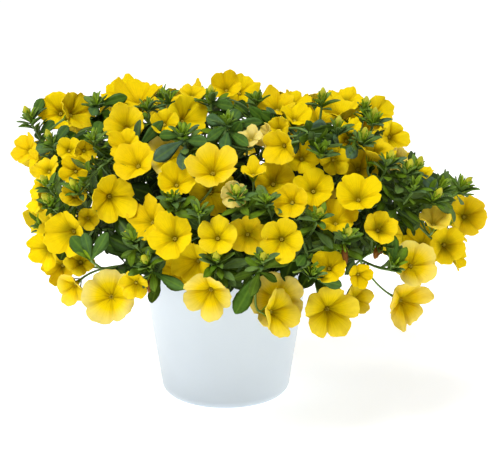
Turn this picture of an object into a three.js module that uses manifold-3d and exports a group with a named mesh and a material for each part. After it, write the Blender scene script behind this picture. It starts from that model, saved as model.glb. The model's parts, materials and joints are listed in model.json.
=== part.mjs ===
// A calibrachoa in flower, a round trailing bedding plant, in its plain tapered pot.
// Millimetres, +Z up. The origin is the middle of the pot's flat foot, and the plant's front is -Y.
//
// The plant is a mound of leafy stems. Each stem stands in its own hole in the soil, arches out over
// the rim and ends in a rosette of young leaves. Funnel flowers sit on thin stalks near the stem ends.
import * as THREE from "three";
import { mergeVertices } from "three/addons/utils/BufferGeometryUtils.js";
import Module from "manifold-3d";

const wasm = await Module();
wasm.setup();

// ---- Pot and soil ----
const POT_HEIGHT = 105;
const POT_RIM_RADIUS = 61.5;
const POT_FOOT_RADIUS = 45.5; // where the straight wall would reach the ground
const POT_FOOT_ROUND = 7.5;
const POT_WALL = 2;
const POT_SIDES = 32;
const SOIL_TOP = 93;
const SOIL_LUMP = 1.6; // how far the soil surface rises and falls
const SEAT_GAP = 0.3; // between pieces that touch

// ---- Mound that the flowers and stem ends lie on ----
const MOUND = { x: 15, y: 0, z: 130, wide: 165, deep: 148, up: 96, down: 62, power: 2.7 };
const FRONT_EYE = new THREE.Vector3(14, -1167, 448);
const SIGHT_STEP = 3; // how far a flower or stem end is moved back at a time until it is clear

// ---- Stems ----
const STEM_RADIUS = 1.15;
const STEM_SIDES = 3;
const STEM_RINGS = 8;
const STEM_STEP = 6; // samples of the stem's curve from ring to ring
const STEM_SAMPLES = (STEM_RINGS - 1) * STEM_STEP;
const ROOT_RINGS = [
  { radius: 11, share: 0.15 },
  { radius: 25, share: 0.33 },
  { radius: 39.5, share: 0.52 },
];
const ROOT_DEPTH = 8;
const HOLE_CLEARANCE = 0.4;
const ARCHES = [0, 14, 28, 44, 60, -10, 75]; // how far a stem may be lifted, tried in this order
const LEANS = [0, 9, -9, 18, -18, 27, -27, 36, -36]; // how far it may be pushed aside
const FLOWER_ROOM = 2.2; // kept free between a stem and a flower
const LINE_GAP = 4.1; // between the middles of two stems
const TIP_GAP = 6; // round the middle of a rosette
const RIM_ROOM = { above: 3, inside: 5 }; // kept free along the pot's rim

// ---- Flower stalks ----
const STALK_RADIUS = 0.75;
const STALK_SAMPLES = 12;
const STALK_GAP = 3; // to other stalks and stems
const STALK_TRIES = 24; // stem places tried for each flower, the nearest first
const STALK_BENDS = [0.55, 0.35, 0.8];
const STALK_STARTS = [0.4, 0.45, 0.5, 0.55, 0.6, 0.65, 0.7, 0.75, 0.8, 0.85, 0.9]; // along the stem
const STALK_TURN = 0.2; // the least cosine of a stalk's turns
const STALK_CLASH_COST = 25; // in mm of stalk

// ---- Flowers: open funnels, as [x, z, width, turn, nod] ----
// x, z and width are read in the upright plane through the pot's axis, along the line of sight from
// the front. Turn is the heading in degrees, 0 to the front and + to the right; nod is + upwards.
const FLOWERS = [
  // a large one in the middle of the front, before its neighbours
  [-40, 117, 35, -20, 10],
  // left side, from the top down
  [-72, 199, 31, -15, 12], [-61, 222, 35, -10, 62], [-118, 209, 30, -10, 5], [-103, 208, 30, 50, 0],
  [-74, 223, 26, -40, 35], [-72, 184, 24, -25, 20], [-65, 172, 32, -20, 20], [-143, 181, 23, -45, 0],
  [-128, 167, 22, -30, 20], [-136, 171, 18, -70, -20], [-108, 165, 22, -10, 10], [-111, 181, 18, 0, 20],
  [-99, 179, 16, 20, 15], [-80, 144, 34, 20, 5], [-59, 130, 34, -45, 5], [-134, 157, 21, -65, 0],
  [-136, 143, 20, -70, 0], [-130, 125, 24, -65, -10], [-115, 117, 35, -28, 0], [-132, 104, 29, -35, -5],
  [-108, 148, 20, 0, 10], [-98, 129, 16, 10, 10], [-105, 98, 22, 0, 0], [-121, 92, 25, -20, -25],
  [-113, 76, 25, -30, -15], [-85, 71, 41, -5, 0], [-67, 79, 22, -15, -35],
  // middle, from the top down
  [-43, 200, 20, 0, 8], [-25, 204, 31, 42, 5], [-23, 223, 20, 10, 60], [0, 226, 23, -10, 20],
  [12, 224, 25, 20, 22], [50, 206, 23, 15, 45], [36, 215, 28, -10, 48], [51, 217, 20, 55, 40],
  [-9, 169, 37, 0, 38], [-8, 149, 36, 15, -15], [6, 147, 20, 10, 15], [17, 190, 18, -20, 30],
  [28, 190, 18, -65, 10], [38, 181, 26, -30, 0], [55, 176, 28, 5, 15], [37, 195, 18, -20, 25],
  [50, 196, 20, 10, 0], [-41, 176, 33, 10, 20], [-35, 158, 28, 0, 20], [20, 166, 19, 0, 60],
  [35, 157, 31, 5, 24], [46, 142, 26, -15, 8], [63, 153, 30, 0, 34],
  [-6, 117, 29, -3, 6], [16, 117, 28, 0, 8], [40, 113, 32, -4, 12], [-14, 70, 38, -15, -10],
  [-25, 96, 31, -32, 5], [-36, 90, 24, -20, -10], [41, 59, 36, 48, -6], [37, 68, 41, 0, 6],
  // right side, from the top down
  [83, 211, 31, 0, 74], [85, 219, 26, 15, 65], [67, 205, 26, 10, 60], [110, 207, 25, 45, 20],
  [87, 198, 18, -30, 60], [99, 198, 22, 0, 40], [107, 182, 30, 45, 52], [120, 189, 24, 30, 12],
  [124, 172, 20, 35, 5], [86, 189, 20, 0, 20], [95, 149, 34, -5, 40], [95, 168, 29, 0, 25],
  [78, 172, 22, 10, 5], [79, 132, 31, -3, 42], [60, 142, 22, 40, 0], [71, 148, 18, 0, 30],
  [112, 123, 26, 20, 8], [140, 165, 16, 10, 60], [150, 130, 24, 10, 48], [174, 132, 30, 14, -5],
  [160, 109, 29, 12, -20], [142, 110, 32, 0, -8], [137, 96, 34, 15, 0], [169, 99, 17, 60, -35],
  [134, 64, 38, 30, -10], [77, 58, 40, 12, -10], [97, 69, 23, 30, 0], [98, 86, 19, 20, -30],
  [74, 94, 27, -10, 5],
];
const FLOWER_LENGTH = 0.56; // of its width, from the stalk's end to the rim
const FLOWER_GAP = 2.1;
const BACK_FLOWERS = 38;
const BACK_TRIES = 150;
const BACK_SPACING = 35;
const BACK_WIDTH = { least: 28, most: 36 };
const BACK_SEED = 31;
const BACK_LEVELS = [1, 0.94, 0.88, 0.82, 0.76, 0.7]; // shares of the mound, the outermost first
const UNSEEN = 0.12; // how little of the mound's surface may be turned to the front eye there
const LIFTS = [0.55, 0.4, 0.25, 0.1]; // how far a fresh front flower turns its face up, if it can
const LIFT_FROM = 85; // no lift at this height, and all of it at the next
const LIFT_ALL = 120;

// The plant's outline from the front, in the upright plane through the pot's axis. Whatever the rule
// puts on the plant's back stays inside it.
const OUTLINE = [
  [-150, 184], [-143, 209], [-120, 221], [-78, 232], [-58, 229], [-38, 224], [-22, 229], [0, 233],
  [20, 229], [40, 223], [92, 219], [109, 212], [119, 194], [146, 163], [170, 160], [185, 140],
  [180, 118], [155, 95], [135, 52], [75, 45], [0, 52], [-85, 55], [-125, 80], [-145, 110], [-142, 150],
];

// ---- Stem ends and the buds that crown some of them, as [x, z] read the same way ----
const STEM_ENDS = [
  [-137, 200], [-122, 183], [-90, 212], [-93, 185], [-54, 209], [-40, 214], [-10, 214], [2, 197],
  [22, 214], [68, 212], [79, 192], [68, 176], [98, 206], [104, 198], [97, 184], [115, 168],
  [128, 162], [135, 164], [134, 150], [153, 150], [148, 142], [168, 150], [-125, 151], [-124, 138],
  [-105, 148], [-66, 112], [-56, 94], [-37, 143], [-19, 132], [8, 144], [29, 141], [-6, 96],
  [27, 96], [66, 128], [86, 114], [112, 110], [-97, 98], [120, 92], [62, 86], [-30, 190],
];
const BUDS = [
  [-142, 208], [-121, 185], [-14, 226], [60, 222], [77, 187], [100, 215], [104, 201], [98, 187],
  [116, 155], [133, 178], [130, 160], [168, 153], [179, 160], [146, 141], [163, 145], [-124, 158],
  [-127, 137], [-97, 150], [-52, 96], [-2, 133], [12, 136], [4, 88], [21, 95], [67, 129], [87, 114],
];
const BACK_ENDS = 18;
const BACK_END_SPACING = 44;
const BACK_END_LOWEST = 105;
const BUD = { length: 9, radius: 2.6, sides: 5 };
const CROWN_REACH = 15; // from a bud to the rosette that it crowns

// Lobes of an open flower: the rim's reach and rise at each notch and at its two shoulders.
const LOBE = { count: 5, reach: [0.86, 1.02, 0.98], rise: [-0.03, 0.02, -0.01] };

// ---- Leaves ----
const ROSETTE = {
  spikes: 6,
  long: 13,
  short: 10,
  hub: 2.2,
  sizes: [1, 0.8, 0.6, 0.45, 0.3],
  turns: [0, Math.PI / 3],
  clearance: 0.05, // of its size
};
const LEAF = {
  perFrontStem: 3,
  perBackStem: 2,
  from: 0.45,
  to: 0.9,
  shortest: 16,
  longest: 25,
  width: 0.36,
  thick: 0.9,
  arch: 0.16,
  clearance: 0.5,
  attempts: 9,
};
const LEAF_SEED = 7;

const GOLDEN_ANGLE = Math.PI * (3 - Math.sqrt(5));
const UP = new THREE.Vector3(0, 0, 1);

const MATERIALS = {
  pot: new THREE.MeshStandardMaterial({ name: "pot", color: 0xe6edf0, roughness: 0.35, metalness: 0 }),
  soil: new THREE.MeshStandardMaterial({ name: "soil", color: 0x2e2219, roughness: 0.95, metalness: 0 }),
  spray: new THREE.MeshStandardMaterial({ name: "spray", color: 0x5f8f2a, roughness: 0.6, metalness: 0 }),
};

// ==== Small helpers ====

// A repeatable random number from 0 to 1.
function seeded(seed) {
  let state = seed;
  return () => {
    state = (state * 1664525 + 1013904223) % 4294967296;
    return state / 4294967296;
  };
}

const mix = (a, b, t) => a + (b - a) * t;
const along = (point, direction, distance) => point.clone().addScaledVector(direction, distance);
const radians = THREE.MathUtils.degToRad;

// The part of a vector that is square to an axis, made one long.
function squareTo(vector, axis) {
  const flat = vector.clone().addScaledVector(axis, -vector.dot(axis));
  return flat.normalize();
}

// Any direction square to an axis.
function anySquareTo(axis) {
  const guide = Math.abs(axis.z) < 0.9 ? UP : new THREE.Vector3(1, 0, 0);
  return squareTo(guide, axis);
}

// A heading in degrees and a nod in degrees, as a direction.
function facing(turn, nod) {
  const a = radians(turn);
  const b = radians(nod);
  return new THREE.Vector3(Math.sin(a) * Math.cos(b), -Math.cos(a) * Math.cos(b), Math.sin(b));
}

// ==== Closed solids ====

// A list of points and faces as a solid.
function solidOf(points, faces) {
  const vertProperties = new Float32Array(points.flatMap((p) => [p.x, p.y, p.z]));
  const triVerts = new Uint32Array(faces.flat());
  return new wasm.Manifold(new wasm.Mesh({ numProp: 3, vertProperties, triVerts }));
}

// A three.js geometry as a solid.
function solidOfGeometry(geometry) {
  const bare = geometry.clone();
  bare.deleteAttribute("normal");
  bare.deleteAttribute("uv");
  const merged = mergeVertices(bare, 1e-3);
  const vertProperties = new Float32Array(merged.attributes.position.array);
  const triVerts = new Uint32Array(merged.index.array);
  return new wasm.Manifold(new wasm.Mesh({ numProp: 3, vertProperties, triVerts }));
}

// A solid as a named mesh.
function meshOf(name, solid, material) {
  const made = solid.getMesh();
  const geometry = new THREE.BufferGeometry();
  const positions = new Float32Array(made.numVert * 3);
  for (let i = 0; i < made.numVert; i++) {
    positions.set(made.vertProperties.subarray(i * made.numProp, i * made.numProp + 3), i * 3);
  }
  geometry.setAttribute("position", new THREE.BufferAttribute(positions, 3));
  geometry.setIndex(new THREE.BufferAttribute(new Uint32Array(made.triVerts), 1));
  geometry.computeVertexNormals();
  const mesh = new THREE.Mesh(geometry, material);
  mesh.name = name;
  return mesh;
}

// A ring of points round a centre, square to the axis. Radii and rises may differ from point to point.
function ring(centre, axis, side, radii, rises = []) {
  const across = axis.clone().cross(side);
  return radii.map((radius, i) => {
    const angle = (i / radii.length) * 2 * Math.PI;
    const out = side.clone().multiplyScalar(Math.cos(angle)).addScaledVector(across, Math.sin(angle));
    return along(along(centre, out, radius), axis, rises[i] ?? 0);
  });
}

// A surface that is closed ring by ring, and that branches are grafted into.
class Skin {
  points = [];
  faces = [];
  buds = []; // faces of the stem that a branch may still leave from

  // Adds a ring of points and gives back their numbers.
  ring(points) {
    const first = this.points.length;
    this.points.push(...points);
    return points.map((_, i) => first + i);
  }

  // How far a ring's point lies from the ring's middle.
  spoke(numbers, i) {
    const middle = numbers.reduce((sum, each) => sum.add(this.points[each]), new THREE.Vector3());
    return this.points[numbers[i]].clone().sub(middle.divideScalar(numbers.length));
  }

  // Faces between two rings of any point counts, the second further along.
  join(first, to, canBranch = false) {
    const spoke = this.spoke(to, 0);
    const turns = first.map((_, i) => this.spoke(first, i).normalize().dot(spoke));
    const lead = turns.indexOf(Math.max(...turns));
    const from = [...first.slice(lead), ...first.slice(0, lead)];
    const [m, n] = [from.length, to.length];
    let i = 0;
    let j = 0;
    while (i < m || (n > 1 && j < n)) {
      const stepFirst = n === 1 || j === n || (i < m && (i + 0.5) / m <= (j + 0.5) / n + 1e-9);
      const face = stepFirst
        ? [from[i % m], from[(i + 1) % m], to[j % n]]
        : [from[i % m], to[(j + 1) % n], to[j % n]];
      if (canBranch) {
        this.buds.push({ face, apex: stepFirst ? 2 : 0 });
      } else {
        this.faces.push(face);
      }
      i += stepFirst ? 1 : 0;
      j += stepFirst ? 0 : 1;
    }
  }

  // Rings joined one after another, from a first ring that is already there.
  extend(first, rings) {
    let from = first;
    for (const points of rings) {
      const to = this.ring(points);
      this.join(from, to);
      from = to;
    }
    return from;
  }

  // Opens the free stem face that suits a branch best, and gives back the small ring of its root.
  graft(start, heading) {
    let best = null;
    for (const bud of this.buds) {
      const [a, b, c] = this.corners(bud);
      const normal = b.clone().sub(a).cross(c.clone().sub(a)).normalize();
      const foot = a.clone().add(b).multiplyScalar(0.5);
      const reach = c.clone().sub(foot);
      const across = start.clone().sub(foot).dot(reach) / reach.lengthSq();
      const share = THREE.MathUtils.clamp(across, 0.12, 0.55);
      const place = along(foot, reach, share);
      const cost = place.distanceTo(start) - 5 * normal.dot(heading);
      if (!best || cost < best.cost) {
        const width = a.distanceTo(b) * (1 - share);
        best = { bud, cost, place, normal, reach: reach.normalize(), width };
      }
    }
    this.buds.splice(this.buds.indexOf(best.bud), 1);
    const across = best.normal.clone().cross(best.reach);
    const half = Math.min(0.36 * best.width, 0.6);
    const root = this.ring([
      along(along(best.place, best.reach, -0.7), across, -half),
      along(along(best.place, best.reach, -0.7), across, half),
      along(best.place, best.reach, 0.9),
    ]);
    const { face, apex } = best.bud;
    const outer = [face[(apex + 1) % 3], face[(apex + 2) % 3], face[apex]];
    const flip = this.points[outer[0]].clone().sub(best.place).dot(across) > 0;
    const inner = flip ? [root[1], root[0], root[2]] : root;
    const [a, b, c] = outer;
    const [d, e, f] = inner;
    this.faces.push([a, b, e], [a, e, d], [b, c, e], [c, f, e], [c, a, d], [c, d, f]);
    return inner;
  }

  // Grafts a branch, and takes it off again if it passes through the skin. Tells whether it holds.
  branch(start, heading, ringsFrom) {
    const before = { points: this.points.length, faces: this.faces.length, buds: [...this.buds] };
    const root = this.graft(start, heading);
    this.extend(root, ringsFrom(root));
    const whole = [...this.faces, ...this.buds.map((bud) => bud.face)].map((face) => this.patch(face));
    const added = whole.slice(before.faces, this.faces.length);
    if (!added.some((one) => whole.some((other) => patchesCross(one, other)))) {
      return true;
    }
    this.points.length = before.points;
    this.faces.length = before.faces;
    this.buds = before.buds;
    return false;
  }

  // A face with its corners and its box.
  patch(face) {
    const corners = face.map((i) => this.points[i]);
    return { face, corners, box: new THREE.Box3().setFromPoints(corners) };
  }

  // The direction from a root's middle to its first corner, square to the stalk's start.
  sideOf(root, stalk) {
    const axis = stalk.points[1].clone().sub(stalk.points[0]).normalize();
    return squareTo(this.spoke(root, 0), axis);
  }

  // A free face's corners, its base first and its apex last.
  corners({ face, apex }) {
    return [1, 2, 0].map((k) => this.points[face[(apex + k) % 3]]);
  }

  close(last) {
    for (let i = 1; i + 1 < last.length; i++) {
      this.faces.push([last[0], last[i], last[i + 1]]);
    }
  }

  open(first) {
    for (let i = 1; i + 1 < first.length; i++) {
      this.faces.push([first[0], first[i + 1], first[i]]);
    }
  }

  solid() {
    return solidOf(this.points, [...this.faces, ...this.buds.map((bud) => bud.face)]);
  }
}

// Whether an edge of one face passes through the other. Edges from a shared corner don't count.
function edgesPass(one, other) {
  const [o, u, v] = other.corners;
  const normal = u.clone().sub(o).cross(v.clone().sub(o));
  return one.face.some((number, k) => {
    const next = (k + 1) % 3;
    if (other.face.includes(number) || other.face.includes(one.face[next])) {
      return false;
    }
    const from = one.corners[k];
    const way = one.corners[next].clone().sub(from);
    const share = normal.dot(o.clone().sub(from)) / normal.dot(way);
    const at = along(from, way, share);
    const turnsWith = (p, q) => q.clone().sub(p).cross(at.clone().sub(p)).dot(normal) > 0;
    return share > 0 && share < 1 && turnsWith(o, u) && turnsWith(u, v) && turnsWith(v, o);
  });
}

function patchesCross(one, other) {
  const near = one !== other && one.box.intersectsBox(other.box);
  return near && (edgesPass(one, other) || edgesPass(other, one));
}

// Rings alone, as one closed solid. The last may be a single end point.
function solidOfRings(rings) {
  const skin = new Skin();
  const first = skin.ring(rings[0]);
  skin.open(first);
  skin.close(skin.extend(first, rings.slice(1)));
  return skin.solid();
}

// Whether the walls between rings pass through each other.
function wallsCross(rings) {
  const skin = new Skin();
  skin.extend(skin.ring(rings[0]), rings.slice(1));
  const patches = skin.faces.map((face) => skin.patch(face));
  return patches.some((one, i) => patches.slice(i + 1).some((other) => patchesCross(one, other)));
}

// Rings along a curve's points, carried on from the first side so that they don't twist. The last
// one turns halfway to the last axis.
function ringsAlong(points, radii, sides, firstSide, lastAxis) {
  const rings = [];
  let side = null;
  let axis = null;
  points.forEach((point, k) => {
    const before = points[k - 1] ? along(point, points[k - 1], -1).normalize() : new THREE.Vector3();
    const after = points[k + 1] ? along(points[k + 1], point, -1).normalize() : lastAxis.clone();
    const next = after.add(before).normalize();
    const turn = new THREE.Quaternion().setFromUnitVectors(axis ?? next, next);
    side = side ? side.clone().applyQuaternion(turn) : squareTo(firstSide, next);
    axis = next;
    rings.push(ring(point, axis, side, Array(sides).fill(radii[k])));
  });
  return rings;
}

// ==== The mound and the lines of sight ====

// A point as shares of the mound: how far out from its upright axis, and how far up or down.
function moundShares(p) {
  const height = p.z > MOUND.z ? MOUND.up : MOUND.down;
  const out = Math.hypot((p.x - MOUND.x) / MOUND.wide, (p.y - MOUND.y) / MOUND.deep);
  return { out, up: (p.z - MOUND.z) / height, height };
}

// 1 on the mound's surface, less inside it. It is an ellipse from above and squarer from the side.
function moundLevel(p) {
  const { out, up } = moundShares(p);
  return (out ** MOUND.power + Math.abs(up) ** MOUND.power) ** (1 / MOUND.power);
}

// The direction square to the mound at a point.
function moundOutward(p) {
  const { out, up, height } = moundShares(p);
  const level = Math.max(out, 1e-6) ** (MOUND.power - 2);
  return new THREE.Vector3(
    (level * (p.x - MOUND.x)) / MOUND.wide ** 2,
    (level * (p.y - MOUND.y)) / MOUND.deep ** 2,
    (Math.sign(up) * Math.abs(up) ** (MOUND.power - 1)) / height,
  ).normalize();
}

// The point at a share of the way from the eye to (x, 0, z).
function sightPoint(x, z, share) {
  return FRONT_EYE.clone().lerp(new THREE.Vector3(x, 0, z), share);
}

// The share at which the line of sight first meets the mound, or passes closest to it.
function sightShare(x, z) {
  let best = 1;
  let least = Infinity;
  for (let i = 0; i <= 200; i++) {
    const share = 0.8 + i * 0.002;
    const level = moundLevel(sightPoint(x, z, share));
    if (level <= 1) {
      return share;
    }
    if (level < least) {
      least = level;
      best = share;
    }
  }
  return best;
}

const SHARE_STEP = SIGHT_STEP / FRONT_EYE.length();

// Whether the front eye sees a point inside the plant's outline.
function insideOutline(p) {
  const { x, z } = FRONT_EYE.clone().lerp(p, FRONT_EYE.y / (FRONT_EYE.y - p.y));
  let inside = false;
  OUTLINE.forEach(([ax, az], i) => {
    const [bx, bz] = OUTLINE[(i + 1) % OUTLINE.length];
    if (az > z !== bz > z && x < mix(ax, bx, (z - az) / (bz - az))) {
      inside = !inside;
    }
  });
  return inside;
}

// ==== Flowers as thin trumpets, for keeping things apart ====

function makeFlower(face, axis, width) {
  const length = width * FLOWER_LENGTH;
  const flower = { face, axis, radius: width / 2, length, base: along(face, axis, -length) };
  flower.points = flowerPoints(flower);
  return flower;
}

// Height of the funnel's sheet above the flower's base at a distance from its axis.
function sheetHeight(flower, rho) {
  const q = Math.min(rho / flower.radius, 1);
  if (q < 0.4) {
    return flower.length * mix(0.45, 0.75, Math.max(q - 0.13, 0) / 0.27);
  }
  return flower.length * mix(0.75, 1, (q - 0.4) / 0.6);
}

// Where a point lies: "touches", "front" or "back" of the sheet, or "away" past its rim.
function sideOf(flower, p, gap) {
  const from = p.clone().sub(flower.base);
  const height = from.dot(flower.axis);
  const rho = Math.sqrt(Math.max(from.lengthSq() - height * height, 0));
  if (rho > flower.radius + gap || height < -gap) {
    return "away";
  }
  if (height < 0.5 * flower.length) {
    return rho < 2 + gap ? "touches" : "back";
  }
  const over = height - sheetHeight(flower, rho);
  if (Math.abs(over) < gap) {
    return "touches";
  }
  return over > 0 ? "front" : "back";
}

// How many of a chain of points touch the flower or pass through its sheet.
function crossings(flower, points, gap) {
  const sides = points.map((p) => sideOf(flower, p, gap));
  const touching = sides.filter((side) => side === "touches").length;
  const through = sides.includes("front") && sides.includes("back") ? 1 : 0;
  return touching + through;
}

// Points spread over a flower's sheet, its tube and its stalk's end.
function flowerPoints(flower) {
  const side = anySquareTo(flower.axis);
  const points = [];
  for (const [share, count] of [[1, 12], [0.7, 7], [0.4, 5]]) {
    const centre = along(flower.base, flower.axis, sheetHeight(flower, share * flower.radius));
    points.push(...ring(centre, flower.axis, side, Array(count).fill(share * flower.radius)));
  }
  for (const share of [0, 0.2, 0.4]) {
    points.push(along(flower.base, flower.axis, share * flower.length));
  }
  return points;
}

function insidePot(p, margin) {
  return p.z < POT_HEIGHT + margin && Math.hypot(p.x, p.y) < POT_RIM_RADIUS + margin;
}

function flowersClash(one, other) {
  const reach = one.radius + other.radius + FLOWER_GAP + Math.max(one.length, other.length);
  if (one.face.distanceTo(other.face) > reach) {
    return false;
  }
  return crossings(one, other.points, FLOWER_GAP) + crossings(other, one.points, FLOWER_GAP) > 0;
}

function isClear(flower, placed) {
  const inPot = flower.points.some((p) => insidePot(p, 3));
  return !inPot && !placed.some((other) => flowersClash(flower, other));
}

// Front flowers: on their line of sight, moved back until they are clear of those before them.
function placeFrontFlowers() {
  const placed = [];
  for (const [x, z, width, turn, nod] of FLOWERS) {
    const share = sightShare(x, z);
    for (let step = 0; step <= 24; step++) {
      const at = share + step * SHARE_STEP;
      const flower = makeFlower(sightPoint(x, z, at), facing(turn, nod), width * at);
      if (isClear(flower, placed)) {
        placed.push(flower);
        break;
      }
    }
  }
  return placed;
}

// Points spread over the mound by the golden angle, as seen from its middle.
function moundPoint(index, count, level) {
  const rise = mix(-0.38, 0.98, index / count);
  const flat = Math.sqrt(1 - rise * rise);
  const angle = index * GOLDEN_ANGLE;
  const middle = new THREE.Vector3(MOUND.x, MOUND.y, MOUND.z);
  const ray = new THREE.Vector3(Math.cos(angle) * flat, Math.sin(angle) * flat, rise * 0.8);
  const reach = level / moundLevel(middle.clone().add(ray));
  return middle.addScaledVector(ray, reach);
}

// How much of the mound's surface at a point is turned to the front eye.
function seenFromFront(p) {
  return moundOutward(p).dot(FRONT_EYE.clone().sub(p).normalize());
}

// Back flowers: the part of the mound that the front eye doesn't see, by rule. Each one lies as far
// out as the plant's outline lets it.
function placeBackFlowers(front) {
  const random = seeded(BACK_SEED);
  const placed = [...front];
  for (let i = BACK_TRIES; i > 0 && placed.length < front.length + BACK_FLOWERS; i--) {
    const [a, b, c, d] = [random(), random(), random(), random()];
    const flower = BACK_LEVELS.map((level) => {
      const face = moundPoint(i - 0.5, BACK_TRIES, level);
      const sway = new THREE.Vector3(a - 0.5, b - 0.5, 0.5 * c);
      const heading = moundOutward(face).add(sway).normalize();
      return makeFlower(face, heading, mix(BACK_WIDTH.least, BACK_WIDTH.most, d));
    }).find((each) => each.points.every(insideOutline));
    if (!flower || seenFromFront(flower.face) > UNSEEN) {
      continue;
    }
    const crowded = placed.some((f) => f.face.distanceTo(flower.face) < BACK_SPACING);
    if (!crowded && isClear(flower, placed)) {
      placed.push(flower);
    }
  }
  return placed;
}

// Front flowers turn their faces up to the light, each as far as its neighbours let it.
function liftFaces(front, flowers) {
  for (const flower of front) {
    const others = flowers.filter((other) => other !== flower);
    const share = THREE.MathUtils.clamp((flower.face.z - LIFT_FROM) / (LIFT_ALL - LIFT_FROM), 0, 1);
    const lifted = LIFTS.map((lift) => {
      const heading = along(flower.axis, UP, lift * share).normalize();
      return makeFlower(flower.face, heading, 2 * flower.radius);
    }).find((each) => isClear(each, others));
    Object.assign(flower, lifted);
  }
}

// ==== Stems and stalks as curves ====

// The rosette's reach at a stem end, as points to keep clear of the flowers.
function endPoints(end) {
  const side = anySquareTo(end.axis);
  const middle = along(end.point, end.axis, 5);
  return [end.point, along(end.point, end.axis, 9), ...ring(middle, end.axis, side, Array(5).fill(8))];
}

function makeEnd(point, share) {
  const axis = along(moundOutward(point).multiplyScalar(0.7), UP, 0.75).normalize();
  return { point, axis, share };
}

function endClashes(end, flowers) {
  return flowers.reduce((sum, flower) => sum + crossings(flower, endPoints(end), 1.2), 0);
}

// Front stem ends: on their line of sight, a little to the front or back where that is clear.
function placeFrontEnds(flowers) {
  return STEM_ENDS.map(([x, z]) => {
    const share = sightShare(x, z);
    let best = null;
    for (let step = 0; step <= 20; step++) {
      const shift = step % 2 ? -(step + 1) / 2 : step / 2;
      const at = share + shift * SHARE_STEP;
      const end = makeEnd(sightPoint(x, z, at), at);
      end.clashes = endClashes(end, flowers);
      if (!best || end.clashes < best.clashes) {
        best = end;
      }
    }
    return { ...best, x, z };
  });
}

// Back stem ends: by rule, each one as far out as the plant's outline lets it.
function placeBackEnds(front, flowers) {
  const placed = [...front];
  for (let i = BACK_TRIES; i > 0 && placed.length < front.length + BACK_ENDS; i--) {
    const choices = BACK_LEVELS.map((level) => makeEnd(moundPoint(i, BACK_TRIES, level), 1));
    const end = choices.find((each) => endPoints(each).every(insideOutline));
    if (!end || end.point.z < BACK_END_LOWEST || seenFromFront(end.point) > UNSEEN) {
      continue;
    }
    const crowded = placed.some((other) => other.point.distanceTo(end.point) < BACK_END_SPACING);
    if (!crowded && endClashes(end, flowers) === 0) {
      placed.push(end);
    }
  }
  return placed;
}

// Each stem end gets a root in the ring of soil that suits its reach, in order round the pot.
function giveRoots(ends) {
  const byReach = [...ends].sort((a, b) => reachOf(a) - reachOf(b));
  let from = 0;
  ROOT_RINGS.forEach((each, k) => {
    const lastRing = k === ROOT_RINGS.length - 1;
    const upTo = lastRing ? byReach.length : from + Math.round(each.share * byReach.length);
    const group = byReach.slice(from, upTo).sort((a, b) => bearingOf(a) - bearingOf(b));
    const spread = (2 * Math.PI) / group.length;
    const lead = group.reduce((sum, end, i) => sum + bearingOf(end) - i * spread, 0) / group.length;
    group.forEach((end, i) => {
      const angle = lead + i * spread;
      end.root = new THREE.Vector3(
        each.radius * Math.cos(angle),
        each.radius * Math.sin(angle),
        SOIL_TOP - ROOT_DEPTH,
      );
    });
    from = upTo;
  });
}

function reachOf(end) {
  return Math.hypot(end.point.x, end.point.y);
}

function bearingOf(end) {
  return Math.atan2(end.point.y, end.point.x);
}

// A stem's curve from its root to its end, lifted by arch and pushed aside by lean.
function stemCurve(end, arch, lean) {
  const span = end.root.distanceTo(end.point);
  const outward = new THREE.Vector3(end.point.x, end.point.y, 0).normalize();
  const sideways = UP.clone().cross(outward);
  const first = along(along(along(end.root, UP, 0.4 * span + arch), outward, 0.08 * span), sideways, lean);
  const second = along(along(along(end.point, end.axis, -0.33 * span), UP, arch), sideways, lean);
  return new THREE.CubicBezierCurve3(end.root, first, second, end.point);
}

// How many points of a line come near the points of other lines.
function nearLines(points, lines, gap) {
  let count = 0;
  for (const line of lines) {
    for (const p of points) {
      if (line.some((q) => p.distanceToSquared(q) < gap * gap)) {
        count += 1;
      }
    }
  }
  return count;
}

function nearRim(points) {
  const least = POT_RIM_RADIUS - POT_WALL - RIM_ROOM.inside;
  const low = points.filter((p) => p.z < POT_HEIGHT + RIM_ROOM.above);
  return low.filter((p) => Math.hypot(p.x, p.y) > least).length;
}

// The middle of a stem end's rosette, as a short line.
function tipLine(end) {
  return [2, 5, 8].map((up) => along(end.point, end.axis, up));
}

function growStems(ends, flowers) {
  const lines = [];
  for (const end of ends) {
    let least = Infinity;
    for (const arch of ARCHES) {
      for (const lean of LEANS) {
        if (least === 0) {
          break;
        }
        const points = stemCurve(end, arch, lean).getPoints(STEM_SAMPLES);
        const inFlowers = flowers.reduce((sum, f) => sum + crossings(f, points, FLOWER_ROOM), 0);
        const inTips = nearLines(points, ends.filter((other) => other !== end).map(tipLine), TIP_GAP);
        const clashes = inFlowers + inTips + nearLines(points, lines, LINE_GAP) + 2 * nearRim(points);
        if (clashes < least) {
          least = clashes;
          end.line = points;
          end.clashes = clashes;
        }
      }
    }
    lines.push(end.line);
  }
}

// A stalk in two straight parts from a stem to a flower's base: its root, its knee and its end.
function stalkKnots(start, base, axis, bend) {
  const pull = along(base, axis, -bend * start.distanceTo(base));
  return [start, new THREE.QuadraticBezierCurve3(start, pull, base).getPoint(0.5), base];
}

// Points spaced evenly between a stalk's knots.
function stalkPoints(knots) {
  const half = STALK_SAMPLES / 2;
  const points = [];
  for (let i = 0; i <= STALK_SAMPLES; i++) {
    const [from, to] = i < half ? [knots[0], knots[1]] : [knots[1], knots[2]];
    points.push(from.clone().lerp(to, (i < half ? i : i - half) / half));
  }
  return points;
}

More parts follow.
